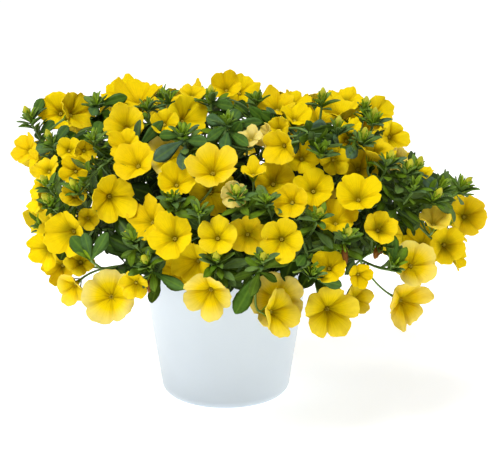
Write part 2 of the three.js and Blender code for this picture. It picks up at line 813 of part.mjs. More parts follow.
// How often a stalk meets flowers, other stalks and stems, and its own stem past its root.
function stalkClashes(head, start, points, ends, stalks, flowers) {
  const free = points.slice(2, -1);
  const otherFlowers = flowers.filter((flower) => flower !== head);
  const inFlowers = otherFlowers.reduce((sum, flower) => sum + crossings(flower, free, 1.3), 0);
  const otherStems = ends.filter((end) => end !== start.end).map((end) => end.line);
  const inStems = nearLines(points, otherStems, STALK_GAP);
  const inOwnStem = nearLines(points.slice(4), [start.end.line], 2.2);
  const inTips = nearLines(points, ends.map(tipLine), TIP_GAP);
  const [root, knee, tip] = [points[0], points[STALK_SAMPLES / 2], points[STALK_SAMPLES]];
  const parts = [along(knee, root, -1).normalize(), along(tip, knee, -1).normalize(), head.axis];
  const sharp = [0, 1].filter((i) => parts[i].dot(parts[i + 1]) < STALK_TURN).length;
  const inStalks = nearLines(points.slice(1), stalks, STALK_GAP);
  return inFlowers + inStems + inOwnStem + inTips + inStalks + sharp;
}

// Each flower is joined to a stem by the shortest stalk that crosses the least.
function joinStalks(flowers, ends) {
  const starts = ends.flatMap((end) =>
    STALK_STARTS.map((t) => ({ end, point: end.line[Math.round(t * STEM_SAMPLES)] })),
  );
  const stalks = [];
  for (const head of flowers) {
    const behind = along(head.base, head.axis, -8);
    const reach = (start) => start.point.distanceTo(behind);
    const free = starts.filter((start) => !start.taken).sort((a, b) => reach(a) - reach(b));
    let least = Infinity;
    let chosen = null;
    for (const start of free.slice(0, STALK_TRIES)) {
      for (const bend of STALK_BENDS) {
        if (reach(start) >= least) {
          continue;
        }
        const knots = stalkKnots(start.point, head.base, head.axis, bend);
        const points = stalkPoints(knots);
        const clashes = stalkClashes(head, start, points, ends, stalks, flowers);
        const cost = clashes * STALK_CLASH_COST + reach(start);
        if (cost < least) {
          least = cost;
          chosen = start;
          head.stalk = { end: start.end, knots, points, clashes };
        }
      }
    }
    chosen.taken = true;
    stalks.push(head.stalk.points);
  }
}

// A bud crowns the rosette that is nearest to it, if it is close enough to it.
function crownEnds(frontEnds) {
  for (const [x, z] of BUDS) {
    const reach = (end) => Math.hypot(end.x - x, end.z - z);
    const owner = frontEnds.reduce((a, b) => (reach(a) <= reach(b) ? a : b));
    const tip = sightPoint(x, z, owner.share - SHARE_STEP);
    owner.crown ||= tip.distanceTo(owner.point) < CROWN_REACH;
  }
}

// ==== Solid forms of the plant ====

// Rings of a stem from its root to just under its end.
function stemRings(end) {
  const points = [];
  for (let i = 0; i < STEM_RINGS - 1; i++) {
    points.push(end.line[i * STEM_STEP]);
  }
  points.push(along(end.point, end.axis, -ROSETTE.hub));
  const radii = points.map((_, i) => mix(STEM_RADIUS, 0.8, i / (STEM_RINGS - 1)));
  const axis = points[1].clone().sub(points[0]).normalize();
  return ringsAlong(points, radii, STEM_SIDES, anySquareTo(axis), end.axis);
}

// The young leaves round a stem end: a spiky star, every second spike more upright, and its hub.
function rosetteRings(end) {
  const { spikes, long, short, hub } = ROSETTE;
  const corner = stemRings(end).at(-1)[0];
  const side = squareTo(corner.sub(end.point), end.axis).applyAxisAngle(end.axis, end.spin);
  const star = [];
  for (let i = 0; i < spikes; i++) {
    const spread = radians(i % 2 ? 30 : 60);
    const reach = (i % 2 ? long : short) * end.size;
    const around = (turn) => side.clone().applyAxisAngle(end.axis, (turn / spikes) * 2 * Math.PI);
    const foot = along(end.point, around(i + 0.5), reach * Math.cos(spread));
    star.push(along(end.point, around(i), 1.6), along(foot, end.axis, reach * Math.sin(spread)));
  }
  const top = along(end.point, end.axis, hub);
  if (!end.crown) {
    return [star, [top]];
  }
  const belly = along(top, end.axis, 0.5 * BUD.length);
  return [
    star,
    ring(top, end.axis, side, [0.9, 0.9, 0.9]),
    ring(belly, end.axis, side, Array(BUD.sides).fill(BUD.radius)),
    [along(top, end.axis, BUD.length)],
  ];
}

function rosetteSolid(end) {
  const under = along(end.point, end.axis, -ROSETTE.hub);
  const foot = ring(under, end.axis, anySquareTo(end.axis), [0.8, 0.8, 0.8]);
  return solidOfRings([foot, ...rosetteRings(end)]);
}

// Rings of an open flower beyond its stalk's root: stalk, tube, funnel, five notched lobes, throat.
function flowerRings(flower, firstSide) {
  const { base, axis, radius, length, stalk, roll } = flower;
  const level = (share) => along(base, axis, share * length);
  const line = [stalk.knots[0], stalk.knots[1], level(0.34)];
  const stem = ringsAlong(line, [STALK_RADIUS, STALK_RADIUS, 1.7], 3, firstSide, axis);
  const side = anySquareTo(axis).applyAxisAngle(axis, roll);
  const rim = Array.from({ length: LOBE.count * LOBE.reach.length }, (_, i) => i % LOBE.reach.length);
  const reaches = rim.map((i) => LOBE.reach[i] * radius);
  const rises = rim.map((i) => LOBE.rise[i] * length);
  return [
    ...stem.slice(1),
    ring(level(0.71), axis, side, Array(LOBE.count).fill(0.4 * radius)),
    ring(level(1), axis, side, reaches, rises),
    ring(level(0.79), axis, side, Array(3).fill(0.29 * radius)),
    [level(0.55)],
  ];
}

// A flower by itself, from the middle of its stem.
function flowerSolid(flower) {
  const axis = flower.stalk.points[1].clone().sub(flower.stalk.points[0]).normalize();
  const side = anySquareTo(axis);
  const first = ring(flower.stalk.points[0], axis, side, [STALK_RADIUS, STALK_RADIUS, STALK_RADIUS]);
  return solidOfRings([first, ...flowerRings(flower, side)]);
}

// Rings of one leaf: an oblong blade that faces its stem's end and arches away from it, widest past
// its middle. Its ridge is on its face (1) or on its back (-1).
function leafRings({ root, heading, face, length, width, thick }, ridgeSide) {
  const ridge = face.clone().multiplyScalar(ridgeSide);
  const across = ridge.clone().cross(heading);
  const station = (share, wide) => {
    const middle = along(along(root, heading, share * length), face, -LEAF.arch * length * share * share);
    return [along(middle, across, wide / 2), along(middle, ridge, thick), along(middle, across, -wide / 2)];
  };
  const tip = along(along(root, heading, length), face, -LEAF.arch * length);
  return [station(0.4, 0.9 * width), station(0.76, 0.86 * width), [tip]];
}

function leafSolid(leaf, ridgeSide) {
  const side = leaf.face.clone().cross(leaf.heading).multiplyScalar(ridgeSide);
  const first = ring(leaf.root, leaf.heading, side, [0.6, 0.6, 0.6]);
  return solidOfRings([first, ...leafRings(leaf, ridgeSide)]);
}

// ==== Putting the plant together ====

// A solid with its box and its owner, for testing what is near it.
function element(solid, owner, kind) {
  const { min, max } = solid.boundingBox();
  return { solid, owner, kind, min, max };
}

function boxesMeet(a, b) {
  return [0, 1, 2].every((k) => a.min[k] < b.max[k] && b.min[k] < a.max[k]);
}

function meets(a, b) {
  return boxesMeet(a, b) && a.solid.intersect(b.solid).volume() > 1e-6;
}

// Whether a form is clear of everything but its own stem, which it grows from.
function standsClear(probe, elements) {
  const others = elements.filter((other) => other.owner !== probe.owner || other.kind !== "stem");
  return !others.some((other) => meets(probe, other));
}

// The largest rosette that is clear, or none.
function growRosette(end, elements) {
  for (const size of ROSETTE.sizes) {
    for (const turn of ROSETTE.turns) {
      end.size = size;
      end.spin = turn;
      const probe = element(rosetteSolid({ ...end, size: size + ROSETTE.clearance }), end, "rosette");
      const walls = [...stemRings(end).slice(-2), ...rosetteRings(end)];
      if (standsClear(probe, elements) && !wallsCross(walls)) {
        elements.push(probe);
        return;
      }
    }
  }
  end.size = 0;
}

// Leaves by the golden angle along the outer half of a stem, turned on until each is clear.
function growLeaves(end, elements, random) {
  end.leaves = [];
  const count = end.x === undefined ? LEAF.perBackStem : LEAF.perFrontStem;
  for (let i = 0; i < count; i++) {
    const t = mix(LEAF.from, LEAF.to, (i + random()) / count);
    const at = Math.round(t * STEM_SAMPLES);
    const root = end.line[at];
    const forward = end.line[at + 1].clone().sub(root).normalize();
    const length = mix(LEAF.shortest, LEAF.longest, random());
    const width = length * LEAF.width * mix(0.85, 1.15, random());
    for (let attempt = 0; attempt < LEAF.attempts; attempt++) {
      const heading = anySquareTo(forward).applyAxisAngle(forward, i * GOLDEN_ANGLE + attempt * 0.7);
      heading.addScaledVector(forward, 0.45 + 0.1 * (attempt % 3)).addScaledVector(UP, 0.15).normalize();
      const leaf = { root, heading, face: squareTo(forward, heading), length, width, thick: LEAF.thick };
      const wide = { ...leaf, length: length + LEAF.clearance, width: width + 1, thick: LEAF.thick + 0.8 };
      const probes = [1, -1].map((ridgeSide) => element(leafSolid(wide, ridgeSide), end, "leaf"));
      if (probes.every((probe) => standsClear(probe, elements))) {
        end.leaves.push(leaf);
        elements.push(...probes);
        break;
      }
    }
  }
}

// One whole spray: its stem, and its flowers and leaves grafted into the stem's faces. A flower that
// can't be grafted without passing through the rest is joined to it as a whole.
function spraySolid(end) {
  const skin = new Skin();
  const [first, ...others] = stemRings(end);
  let from = skin.ring(first);
  skin.open(from);
  for (const points of others) {
    const to = skin.ring(points);
    skin.join(from, to, true);
    from = to;
  }
  skin.close(end.size > 0 ? skin.extend(from, rosetteRings(end)) : from);
  const apart = end.flowers.filter((flower) => {
    const [start, next] = [flower.stalk.points[0], flower.stalk.points[3]];
    const heading = next.clone().sub(start).normalize();
    return !skin.branch(start, heading, (root) => flowerRings(flower, skin.sideOf(root, flower.stalk)));
  });
  end.leaves = end.leaves.filter((leaf) =>
    [1, -1].some((ridgeSide) => skin.branch(leaf.root, leaf.heading, () => leafRings(leaf, ridgeSide))),
  );
  return apart.reduce((sum, flower) => sum.add(flowerSolid(flower)), skin.solid());
}

function potSolid() {
  const wallRadius = (z) => mix(POT_FOOT_RADIUS, POT_RIM_RADIUS, z / POT_HEIGHT);
  const roundCentre = wallRadius(POT_FOOT_ROUND) - POT_FOOT_ROUND;
  const profile = [new THREE.Vector2(0, 0)];
  for (let i = 0; i <= 4; i++) {
    const angle = radians(-90 + (85 * i) / 4);
    profile.push(
      new THREE.Vector2(
        roundCentre + POT_FOOT_ROUND * Math.cos(angle),
        POT_FOOT_ROUND + POT_FOOT_ROUND * Math.sin(angle),
      ),
    );
  }
  profile.push(
    new THREE.Vector2(POT_RIM_RADIUS, POT_HEIGHT),
    new THREE.Vector2(POT_RIM_RADIUS - POT_WALL, POT_HEIGHT),
    new THREE.Vector2(wallRadius(POT_FOOT_ROUND) - POT_WALL, POT_FOOT_ROUND),
    new THREE.Vector2(roundCentre, 2.5),
    new THREE.Vector2(0, 2.5),
  );
  return solidOfGeometry(new THREE.LatheGeometry(profile, POT_SIDES).rotateX(Math.PI / 2));
}

// A stem's ring made wide enough for its hole, and moved down a little.
function widened(points, middle, down) {
  const growth = 1 + (2 * HOLE_CLEARANCE) / STEM_RADIUS;
  return points.map((p) => along(middle.clone().lerp(p, growth), down, 1));
}

// Soil up to a little under the rim, its surface low and uneven, with a hole for each stem.
function soilSolid(ends) {
  const wallRadius = (z) => mix(POT_FOOT_RADIUS, POT_RIM_RADIUS, z / POT_HEIGHT) - POT_WALL - SEAT_GAP;
  const edge = wallRadius(SOIL_TOP) - 0.35;
  const profile = [
    new THREE.Vector2(0, 2.8),
    new THREE.Vector2(36, 2.8),
    new THREE.Vector2(wallRadius(12) - 0.8, 12),
    new THREE.Vector2(edge, SOIL_TOP - 2.5),
    new THREE.Vector2(edge * 0.75, SOIL_TOP),
    new THREE.Vector2(edge * 0.4, SOIL_TOP),
    new THREE.Vector2(0, SOIL_TOP),
  ];
  const geometry = new THREE.LatheGeometry(profile, 20).rotateX(Math.PI / 2);
  const position = geometry.attributes.position;
  for (let i = 0; i < position.count; i++) {
    const [x, y, z] = [position.getX(i), position.getY(i), position.getZ(i)];
    if (z > SOIL_TOP - 1) {
      position.setZ(i, z + SOIL_LUMP * Math.sin(x * 0.19 + 1) * Math.cos(y * 0.23));
    }
  }
  let soil = solidOfGeometry(geometry);
  for (const end of ends) {
    const [low, high] = stemRings(end);
    const down = end.root.clone().sub(end.line[1]).normalize();
    const hole = solidOfRings([widened(low, end.root, down), widened(high, end.line[STEM_STEP], down)]);
    soil = soil.subtract(hole);
  }
  return soil;
}

function buildPlant() {
  const frontFlowers = placeFrontFlowers();
  const flowers = placeBackFlowers(frontFlowers);
  liftFaces(frontFlowers, flowers);
  flowers.forEach((flower, i) => {
    flower.roll = i * GOLDEN_ANGLE;
  });
  const frontEnds = placeFrontEnds(flowers);
  const ends = placeBackEnds(frontEnds, flowers);
  giveRoots(ends);
  growStems(ends, flowers);
  crownEnds(frontEnds);
  joinStalks(flowers, ends);

  const pot = element(potSolid(), "pot");
  const soil = element(soilSolid(ends), "soil");
  const stems = ends.map((end) => element(solidOfRings(stemRings(end)), end, "stem"));
  const heads = flowers.map((flower) => element(flowerSolid(flower), flower.stalk.end, "flower"));
  const elements = [pot, soil, ...stems, ...heads];
  for (const end of ends) {
    end.flowers = flowers.filter((flower) => flower.stalk.end === end);
    growRosette(end, elements);
  }
  const random = seeded(LEAF_SEED);
  ends.forEach((end) => growLeaves(end, elements, random));
  return { flowers, ends, pot, soil, elements };
}

// Sprays that cross are grown together: each owner gets the number of its group.
function groupSprays(ends, elements) {
  const group = new Map(ends.map((end, i) => [end, i]));
  const grown = elements.filter((each) => group.has(each.owner));
  grown.forEach((a, i) => {
    for (const b of grown.slice(i + 1)) {
      const [from, to] = [group.get(a.owner), group.get(b.owner)];
      if (from !== to && meets(a, b)) {
        for (const end of ends) {
          if (group.get(end) === Math.max(from, to)) {
            group.set(end, Math.min(from, to));
          }
        }
      }
    }
  });
  return group;
}

const plant = buildPlant();
const potted = new THREE.Group();
potted.add(meshOf("pot", plant.pot.solid, MATERIALS.pot));
potted.add(meshOf("soil", plant.soil.solid, MATERIALS.soil));
const groups = groupSprays(plant.ends, plant.elements);
let sprayNumber = 0;
for (const number of new Set(groups.values())) {
  const grown = plant.ends.filter((end) => groups.get(end) === number).map(spraySolid);
  const whole = grown.reduce((sum, each) => sum.add(each));
  sprayNumber += 1;
  potted.add(meshOf(`spray_${String(sprayNumber).padStart(2, "0")}`, whole, MATERIALS.spray));
}

export default potted;
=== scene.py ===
import bpy
import json
import math
import numpy as np
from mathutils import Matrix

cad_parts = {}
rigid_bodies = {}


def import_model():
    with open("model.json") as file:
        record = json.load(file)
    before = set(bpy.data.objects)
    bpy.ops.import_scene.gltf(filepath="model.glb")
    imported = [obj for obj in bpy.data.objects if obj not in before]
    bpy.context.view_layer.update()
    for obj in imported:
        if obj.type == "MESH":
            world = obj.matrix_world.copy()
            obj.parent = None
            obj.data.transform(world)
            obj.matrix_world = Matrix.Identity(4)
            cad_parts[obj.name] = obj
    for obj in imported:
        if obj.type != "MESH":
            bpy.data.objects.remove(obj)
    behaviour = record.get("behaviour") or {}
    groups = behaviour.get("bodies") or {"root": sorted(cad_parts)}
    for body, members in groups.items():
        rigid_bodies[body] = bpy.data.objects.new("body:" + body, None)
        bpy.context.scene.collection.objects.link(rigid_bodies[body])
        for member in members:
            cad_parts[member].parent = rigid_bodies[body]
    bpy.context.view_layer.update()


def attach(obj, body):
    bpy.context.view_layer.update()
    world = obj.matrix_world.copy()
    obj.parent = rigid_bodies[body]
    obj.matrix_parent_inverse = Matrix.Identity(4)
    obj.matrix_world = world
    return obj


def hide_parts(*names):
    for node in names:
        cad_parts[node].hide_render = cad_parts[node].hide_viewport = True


for thing in list(bpy.data.objects):
    bpy.data.objects.remove(thing)
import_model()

# ==== Pot ====
# A plain cover pot of white plastic, moulded in one piece: a straight tapered wall with a thin rim
# and a rounded foot edge. It stands on its flat foot.
MM = 0.001
POT_HEIGHT = 105.0
POT_RIM_RADIUS = 61.5
POT_FOOT_RADIUS = 45.5
POT_FOOT_ROUND = 7.5
POT_FLOOR = 2.5
POT_WALL = 2.0
LIP_ROUND = 0.8
POT_SIDES = 160
FOOT_TURN = 85
FOOT_STEPS = 12
LIP_STEPS = 6


def wall_radius(z):
    """Radius of the pot's straight outer wall at a height."""
    return POT_FOOT_RADIUS + (POT_RIM_RADIUS - POT_FOOT_RADIUS) * z / POT_HEIGHT


class Shape:
    """Points, faces and what the finish reads at each point, gathered for one piece."""

    def __init__(self):
        self.points = []
        self.faces = []
        self.finishes = []
        self.values = []
        self.count = 0

    def add(self, points, faces, finish=0, **values):
        """Add points with their faces of three or four corners, a finish, and values by name."""
        for corners in faces:
            corners = np.asarray(corners, int) + self.count
            if corners.shape[1] == 4:
                corners = np.concatenate([corners[:, [0, 1, 2]], corners[:, [0, 2, 3]]])
            self.faces.append(corners)
            self.finishes.append(np.full(len(corners), finish))
        self.points.append(points)
        self.values.append(values)
        self.count += len(points)

    def layer(self, mesh, name):
        """Give each point of the mesh its value of that name: a colour, or a plain number."""
        is_colour = name.endswith("colour")
        rows = []
        for points, values in zip(self.points, self.values):
            value = np.asarray(values.get(name, 0.0), float)
            rows.append(np.broadcast_to(value, (len(points), 3) if is_colour else len(points)))
        rows = np.concatenate(rows)
        if is_colour:
            made = mesh.attributes.new(name, "FLOAT_COLOR", "POINT")
            rows = np.concatenate([rows, np.ones((len(rows), 1))], 1)
            made.data.foreach_set("color", rows.astype(np.float32).ravel())
        else:
            made = mesh.attributes.new(name, "FLOAT", "POINT")
            made.data.foreach_set("value", rows.astype(np.float32))

    def piece(self, name, finishes):
        """Make the piece in Blender, in metres, with smooth shading."""
        mesh = bpy.data.meshes.new(name)
        points = np.concatenate(self.points) * MM
        triangles = np.concatenate(self.faces)
        mesh.vertices.add(len(points))
        mesh.vertices.foreach_set("co", points.astype(np.float32).ravel())
        mesh.loops.add(triangles.size)
        mesh.loops.foreach_set("vertex_index", triangles.astype(np.int32).ravel())
        mesh.polygons.add(len(triangles))
        mesh.polygons.foreach_set("loop_start", np.arange(0, triangles.size, 3, dtype=np.int32))
        mesh.polygons.foreach_set("material_index", np.concatenate(self.finishes).astype(np.int32))
        for finish in finishes:
            mesh.materials.append(finish)
        for value_name in sorted({key for values in self.values for key in values}):
            self.layer(mesh, value_name)
        mesh.update(calc_edges=True)
        mesh.shade_smooth()
        made = bpy.data.objects.new(name, mesh)
        bpy.context.scene.collection.objects.link(made)
        return made


def grid_faces(rows, columns):
    """Faces of rings joined one after another."""
    i, k = np.meshgrid(np.arange(rows - 1), np.arange(columns), indexing="ij")
    a = i * columns + k
    b = i * columns + (k + 1) % columns
    return np.stack([a, b, b + columns, a + columns], -1).reshape(-1, 4)


def closed(rings, first, last):
    """Rings joined one after another, and closed to a point at each end."""
    sides = len(rings[0])
    total = len(rings) * sides
    top = total - sides
    k = np.arange(sides)
    start = np.stack([np.full(sides, total), (k + 1) % sides, k], 1)
    end = np.stack([np.full(sides, total + 1), top + k, top + (k + 1) % sides], 1)
    return np.concatenate(rings + [first[None], last[None]]), [grid_faces(len(rings), sides), start, end]


def turned(profile, sides):
    """A profile of radius and height turned round the upright axis, on which it starts and ends."""
    angle = np.arange(sides) * 2 * math.pi / sides
    rings = [
        np.stack([radius * np.cos(angle), radius * np.sin(angle), np.full(sides, z)], 1)
        for radius, z in profile[1:-1]
    ]
    return closed(rings, np.array((0, 0, profile[0][1])), np.array((0, 0, profile[-1][1])))


def fill(tree, socket, value):
    """Link another node's output to a socket, or set the socket's own value."""
    if isinstance(value, bpy.types.NodeSocket):
        tree.links.new(value, socket)
    else:
        socket.default_value = value


def node(tree, kind, x, y, **settings):
    """A shader node, with its properties set and its named sockets filled."""
    made = tree.nodes.new(kind)
    made.location = (x, y)
    for name, value in settings.items():
        if name in made.bl_rna.properties:
            setattr(made, name, value)
        else:
            fill(tree, made.inputs[name.replace("_", " ")], value)
    return made


def mixed(tree, x, y, share, low, high, blend="MIX"):
    """The colour between two others, or one multiplied by the other."""
    made = node(tree, "ShaderNodeMix", x, y, data_type="RGBA", blend_type=blend)
    fill(tree, made.inputs[0], share)
    fill(tree, made.inputs[6], low)
    fill(tree, made.inputs[7], high)
    return made.outputs[2]


def bumped(tree, x, y, height, strength, distance):
    """The normal of a fine relief."""
    made = node(tree, "ShaderNodeBump", x, y, Height=height, Strength=strength, Distance=distance)
    return made.outputs["Normal"]


def new_group(name, **inputs):
    """An effect for several finishes: its tree, its named inputs, and a noise fixed to the piece."""
    group = bpy.data.node_groups.new(name, "ShaderNodeTree")
    for label, value in inputs.items():
        kind = "NodeSocketColor" if isinstance(value, tuple) else "NodeSocketFloat"
        group.interface.new_socket(label, in_out="INPUT", socket_type=kind).default_value = value
    group.interface.new_socket("Color", in_out="OUTPUT", socket_type="NodeSocketColor")
    group.interface.new_socket("Amount", in_out="OUTPUT", socket_type="NodeSocketFloat")
    given = node(group, "NodeGroupInput", -900, 0).outputs
    place = node(group, "ShaderNodeTexCoord", -900, -300).outputs["Object"]
    noise = {key: given[key] for key in ("Scale", "Detail", "Roughness")}
    amount = node(group, "ShaderNodeTexNoise", -600, -200, Vector=place, **noise).outputs["Fac"]
    return group, given, amount


# Soft blotches between a dark and a light colour.
BLACK = (0.0, 0.0, 0.0, 1.0)
blotches, given, amount = new_group(
    "blotches", Dark=BLACK, Light=BLACK, Scale=5.0, Detail=2.0, Roughness=0.5
)
colour = mixed(blotches, -300, 0, amount, given["Dark"], given["Light"])
node(blotches, "NodeGroupOutput", 0, 0, Color=colour, Amount=amount)


def new_finish(name, **settings):
    """A finish, its node tree and its shader, with the shader's own sockets set."""
    finish = bpy.data.materials.new(name)
    finish.use_nodes = True
    shader = finish.node_tree.nodes["Principled BSDF"]
    for key, value in settings.items():
        shader.inputs[key.replace("_", " ")].default_value = value
    return finish, finish.node_tree, shader


pot_finish, tree, shader = new_finish(
    "white_pot_plastic", Roughness=0.34, Coat_Weight=0.12, Coat_Roughness=0.2
)
cloud = node(
    tree, "ShaderNodeGroup", -700, 120, node_tree=blotches, Scale=26.0, Detail=3.0,
    Dark=(0.67, 0.75, 0.83, 1), Light=(0.73, 0.81, 0.89, 1),
)
grain = node(tree, "ShaderNodeGroup", -700, -160, node_tree=blotches, Scale=900.0, Detail=2.0)
fill(tree, shader.inputs["Base Color"], cloud.outputs["Color"])
fill(tree, shader.inputs["Normal"], bumped(tree, -300, -160, grain.outputs["Amount"], 0.05, 0.0002))

foot_centre = wall_radius(POT_FOOT_ROUND) - POT_FOOT_ROUND
foot_turn = [math.radians(-90 + FOOT_TURN * i / FOOT_STEPS) for i in range(FOOT_STEPS + 1)]
lip_turn = [math.radians(180 * i / LIP_STEPS) for i in range(LIP_STEPS + 1)]
lip_middle = (POT_RIM_RADIUS + (POT_RIM_RADIUS - POT_WALL)) / 2
lip_foot = POT_HEIGHT - LIP_ROUND
pot_profile = [(0, 0)]
pot_profile += [
    (foot_centre + POT_FOOT_ROUND * math.cos(a), POT_FOOT_ROUND + POT_FOOT_ROUND * math.sin(a))
    for a in foot_turn
]
pot_profile += [(wall_radius(z), z) for z in (30, 60, 85)]
pot_profile += [
    (lip_middle + POT_WALL / 2 * math.cos(a), lip_foot + LIP_ROUND * math.sin(a)) for a in lip_turn
]
pot_profile += [(wall_radius(POT_FOOT_ROUND) - POT_WALL, POT_FOOT_ROUND)]
pot_profile += [(foot_centre, POT_FLOOR), (0, POT_FLOOR)]
shape = Shape()
shape.add(*turned(pot_profile, POT_SIDES))
pot = shape.piece("pot_shell", [pot_finish])
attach(pot, "root")
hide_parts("pot")

# ==== Soil ====
# Potting soil of peat and a little grit, dark and crumbly, filled to a little under the rim. The
# stems stand in it, and the flowers hide most of it.
SOIL_TOP = 93.0
SOIL_BOTTOM = 2.8
SOIL_FOOT_RADIUS = 36
SOIL_WALL_FROM = 12
SOIL_EDGE_DROP = 2.5
SOIL_LUMP = 1.6
SOIL_SIDES = 120
SOIL_RINGS = 34
SEAT_GAP = 0.3


def lumps(x, y):
    """Height of the loose soil over its level: low heaps with crumbs on them."""
    low = SOIL_LUMP * np.sin(x * 0.19 + 1) * np.cos(y * 0.23)
    crumbs = 0.5 * np.sin(x * 1.1 + 0.7 * y) * np.sin(y * 1.3 - 0.4 * x)
    return low + (crumbs + 0.35 * np.sin(2.3 * x) * np.sin(2.1 * y + 1))


soil_finish, tree, shader = new_finish("potting_soil", Roughness=0.96)
crumb = node(
    tree, "ShaderNodeGroup", -700, 0, node_tree=blotches, Scale=420.0, Detail=6.0, Roughness=0.7,
    Dark=(0.012, 0.008, 0.005, 1), Light=(0.075, 0.05, 0.03, 1),
)
fill(tree, shader.inputs["Base Color"], crumb.outputs["Color"])
fill(tree, shader.inputs["Normal"], bumped(tree, -300, -160, crumb.outputs["Amount"], 0.8, 0.0012))

soil_edge = wall_radius(SOIL_TOP) - POT_WALL - SEAT_GAP - 0.35
soil_foot = wall_radius(SOIL_WALL_FROM) - POT_WALL - SEAT_GAP - 0.8
soil_profile = [(0, SOIL_BOTTOM), (SOIL_FOOT_RADIUS, SOIL_BOTTOM)]
soil_profile += [(soil_foot, SOIL_WALL_FROM), (soil_edge, SOIL_TOP - SOIL_EDGE_DROP)]
soil_profile += [(soil_edge * (1 - (i + 1) / SOIL_RINGS), SOIL_TOP) for i in range(SOIL_RINGS - 1)]
soil_profile += [(0, SOIL_TOP)]
points, faces = turned(soil_profile, SOIL_SIDES)
on_top = points[:, 2] == SOIL_TOP
points[on_top, 2] += lumps(points[on_top, 0], points[on_top, 1])
shape = Shape()
shape.add(points, faces)
soil = shape.piece("soil_fill", [soil_finish])
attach(soil, "root")
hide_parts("soil")

# ==== Where the flowers open ====
# The living plant is a low round mound of soft stems that open their flowers to the light all over
# it. It is grown by the rule of its solids: front flowers are placed along the line of sight, and
# back ones by the golden angle.
MOUND_MIDDLE = np.array((15.0, 0.0, 130.0))
MOUND_WIDE = 165.0
MOUND_DEEP = 148.0
MOUND_UP = 96.0
MOUND_DOWN = 62.0
MOUND_POWER = 2.7
FRONT_EYE = np.array((14.0, -1167.0, 448.0))
SIGHT_TRIES = 25
SHARE_STEP = 3 / np.linalg.norm(FRONT_EYE)
GOLDEN_ANGLE = math.pi * (3 - math.sqrt(5))
UP = np.array((0.0, 0.0, 1.0))
FLOWER_LENGTH = 0.56
FLOWER_GAP = 2.1
TUBE_ROOM = 2
POT_ROOM = 3
BACK_FLOWERS = 38
BACK_TRIES = 150
BACK_SPACING = 35
BACK_SEED = 31
BACK_LEAST = 28
BACK_MOST = 36
BACK_LEVELS = (1, 0.94, 0.88, 0.82, 0.76, 0.7)
UNSEEN = 0.12
LIFTS = (0.55, 0.4, 0.25, 0.1)
LIFT_FROM = 85
LIFT_ALL = 120

# The plant's outline from the front, in the upright plane through the pot's axis, as x and z.
OUTLINE = np.array([
    (-150, 184), (-143, 209), (-120, 221), (-78, 232), (-58, 229), (-38, 224), (-22, 229), (0, 233),
    (20, 229), (40, 223), (92, 219), (109, 212), (119, 194), (146, 163), (170, 160), (185, 140),
    (180, 118), (155, 95), (135, 52), (75, 45), (0, 52), (-85, 55), (-125, 80), (-145, 110), (-142, 150),
])

# x, z, width, turn and nod of each front flower.
FRONT_FLOWERS = [
    (-40, 117, 35, -20, 10),
    (-72, 199, 31, -15, 12), (-61, 222, 35, -10, 62), (-118, 209, 30, -10, 5), (-103, 208, 30, 50, 0),
    (-74, 223, 26, -40, 35), (-72, 184, 24, -25, 20), (-65, 172, 32, -20, 20), (-143, 181, 23, -45, 0),
    (-128, 167, 22, -30, 20), (-136, 171, 18, -70, -20), (-108, 165, 22, -10, 10), (-111, 181, 18, 0, 20),
    (-99, 179, 16, 20, 15), (-80, 144, 34, 20, 5), (-59, 130, 34, -45, 5), (-134, 157, 21, -65, 0),
    (-136, 143, 20, -70, 0), (-130, 125, 24, -65, -10), (-115, 117, 35, -28, 0), (-132, 104, 29, -35, -5),
    (-108, 148, 20, 0, 10), (-98, 129, 16, 10, 10), (-105, 98, 22, 0, 0), (-121, 92, 25, -20, -25),
    (-113, 76, 25, -30, -15), (-85, 71, 41, -5, 0), (-67, 79, 22, -15, -35),
    (-43, 200, 20, 0, 8), (-25, 204, 31, 42, 5), (-23, 223, 20, 10, 60), (0, 226, 23, -10, 20),
    (12, 224, 25, 20, 22), (50, 206, 23, 15, 45), (36, 215, 28, -10, 48), (51, 217, 20, 55, 40),
    (-9, 169, 37, 0, 38), (-8, 149, 36, 15, -15), (6, 147, 20, 10, 15), (17, 190, 18, -20, 30),
    (28, 190, 18, -65, 10), (38, 181, 26, -30, 0), (55, 176, 28, 5, 15), (37, 195, 18, -20, 25),
    (50, 196, 20, 10, 0), (-41, 176, 33, 10, 20), (-35, 158, 28, 0, 20), (20, 166, 19, 0, 60),
    (35, 157, 31, 5, 24), (46, 142, 26, -15, 8), (63, 153, 30, 0, 34),
    (-6, 117, 29, -3, 6), (16, 117, 28, 0, 8), (40, 113, 32, -4, 12), (-14, 70, 38, -15, -10),
    (-25, 96, 31, -32, 5), (-36, 90, 24, -20, -10), (41, 59, 36, 48, -6), (37, 68, 41, 0, 6),
    (83, 211, 31, 0, 74), (85, 219, 26, 15, 65), (67, 205, 26, 10, 60), (110, 207, 25, 45, 20),
    (87, 198, 18, -30, 60), (99, 198, 22, 0, 40), (107, 182, 30, 45, 52), (120, 189, 24, 30, 12),
    (124, 172, 20, 35, 5), (86, 189, 20, 0, 20), (95, 149, 34, -5, 40), (95, 168, 29, 0, 25),
    (78, 172, 22, 10, 5), (79, 132, 31, -3, 42), (60, 142, 22, 40, 0), (71, 148, 18, 0, 30),
    (112, 123, 26, 20, 8), (140, 165, 16, 10, 60), (150, 130, 24, 10, 48), (174, 132, 30, 14, -5),
    (160, 109, 29, 12, -20), (142, 110, 32, 0, -8), (137, 96, 34, 15, 0), (169, 99, 17, 60, -35),
    (134, 64, 38, 30, -10), (77, 58, 40, 12, -10), (97, 69, 23, 30, 0), (98, 86, 19, 20, -30),
    (74, 94, 27, -10, 5),
]


def seeded(seed):
    """An endless row of shares between 0 and 1, the same in each run."""
    state = seed
    while True:
        state = (state * 1664525 + 1013904223) % 4294967296
        yield state / 4294967296


def unit(v):
    """Directions of length 1."""
    return v / np.linalg.norm(v, axis=-1, keepdims=True)


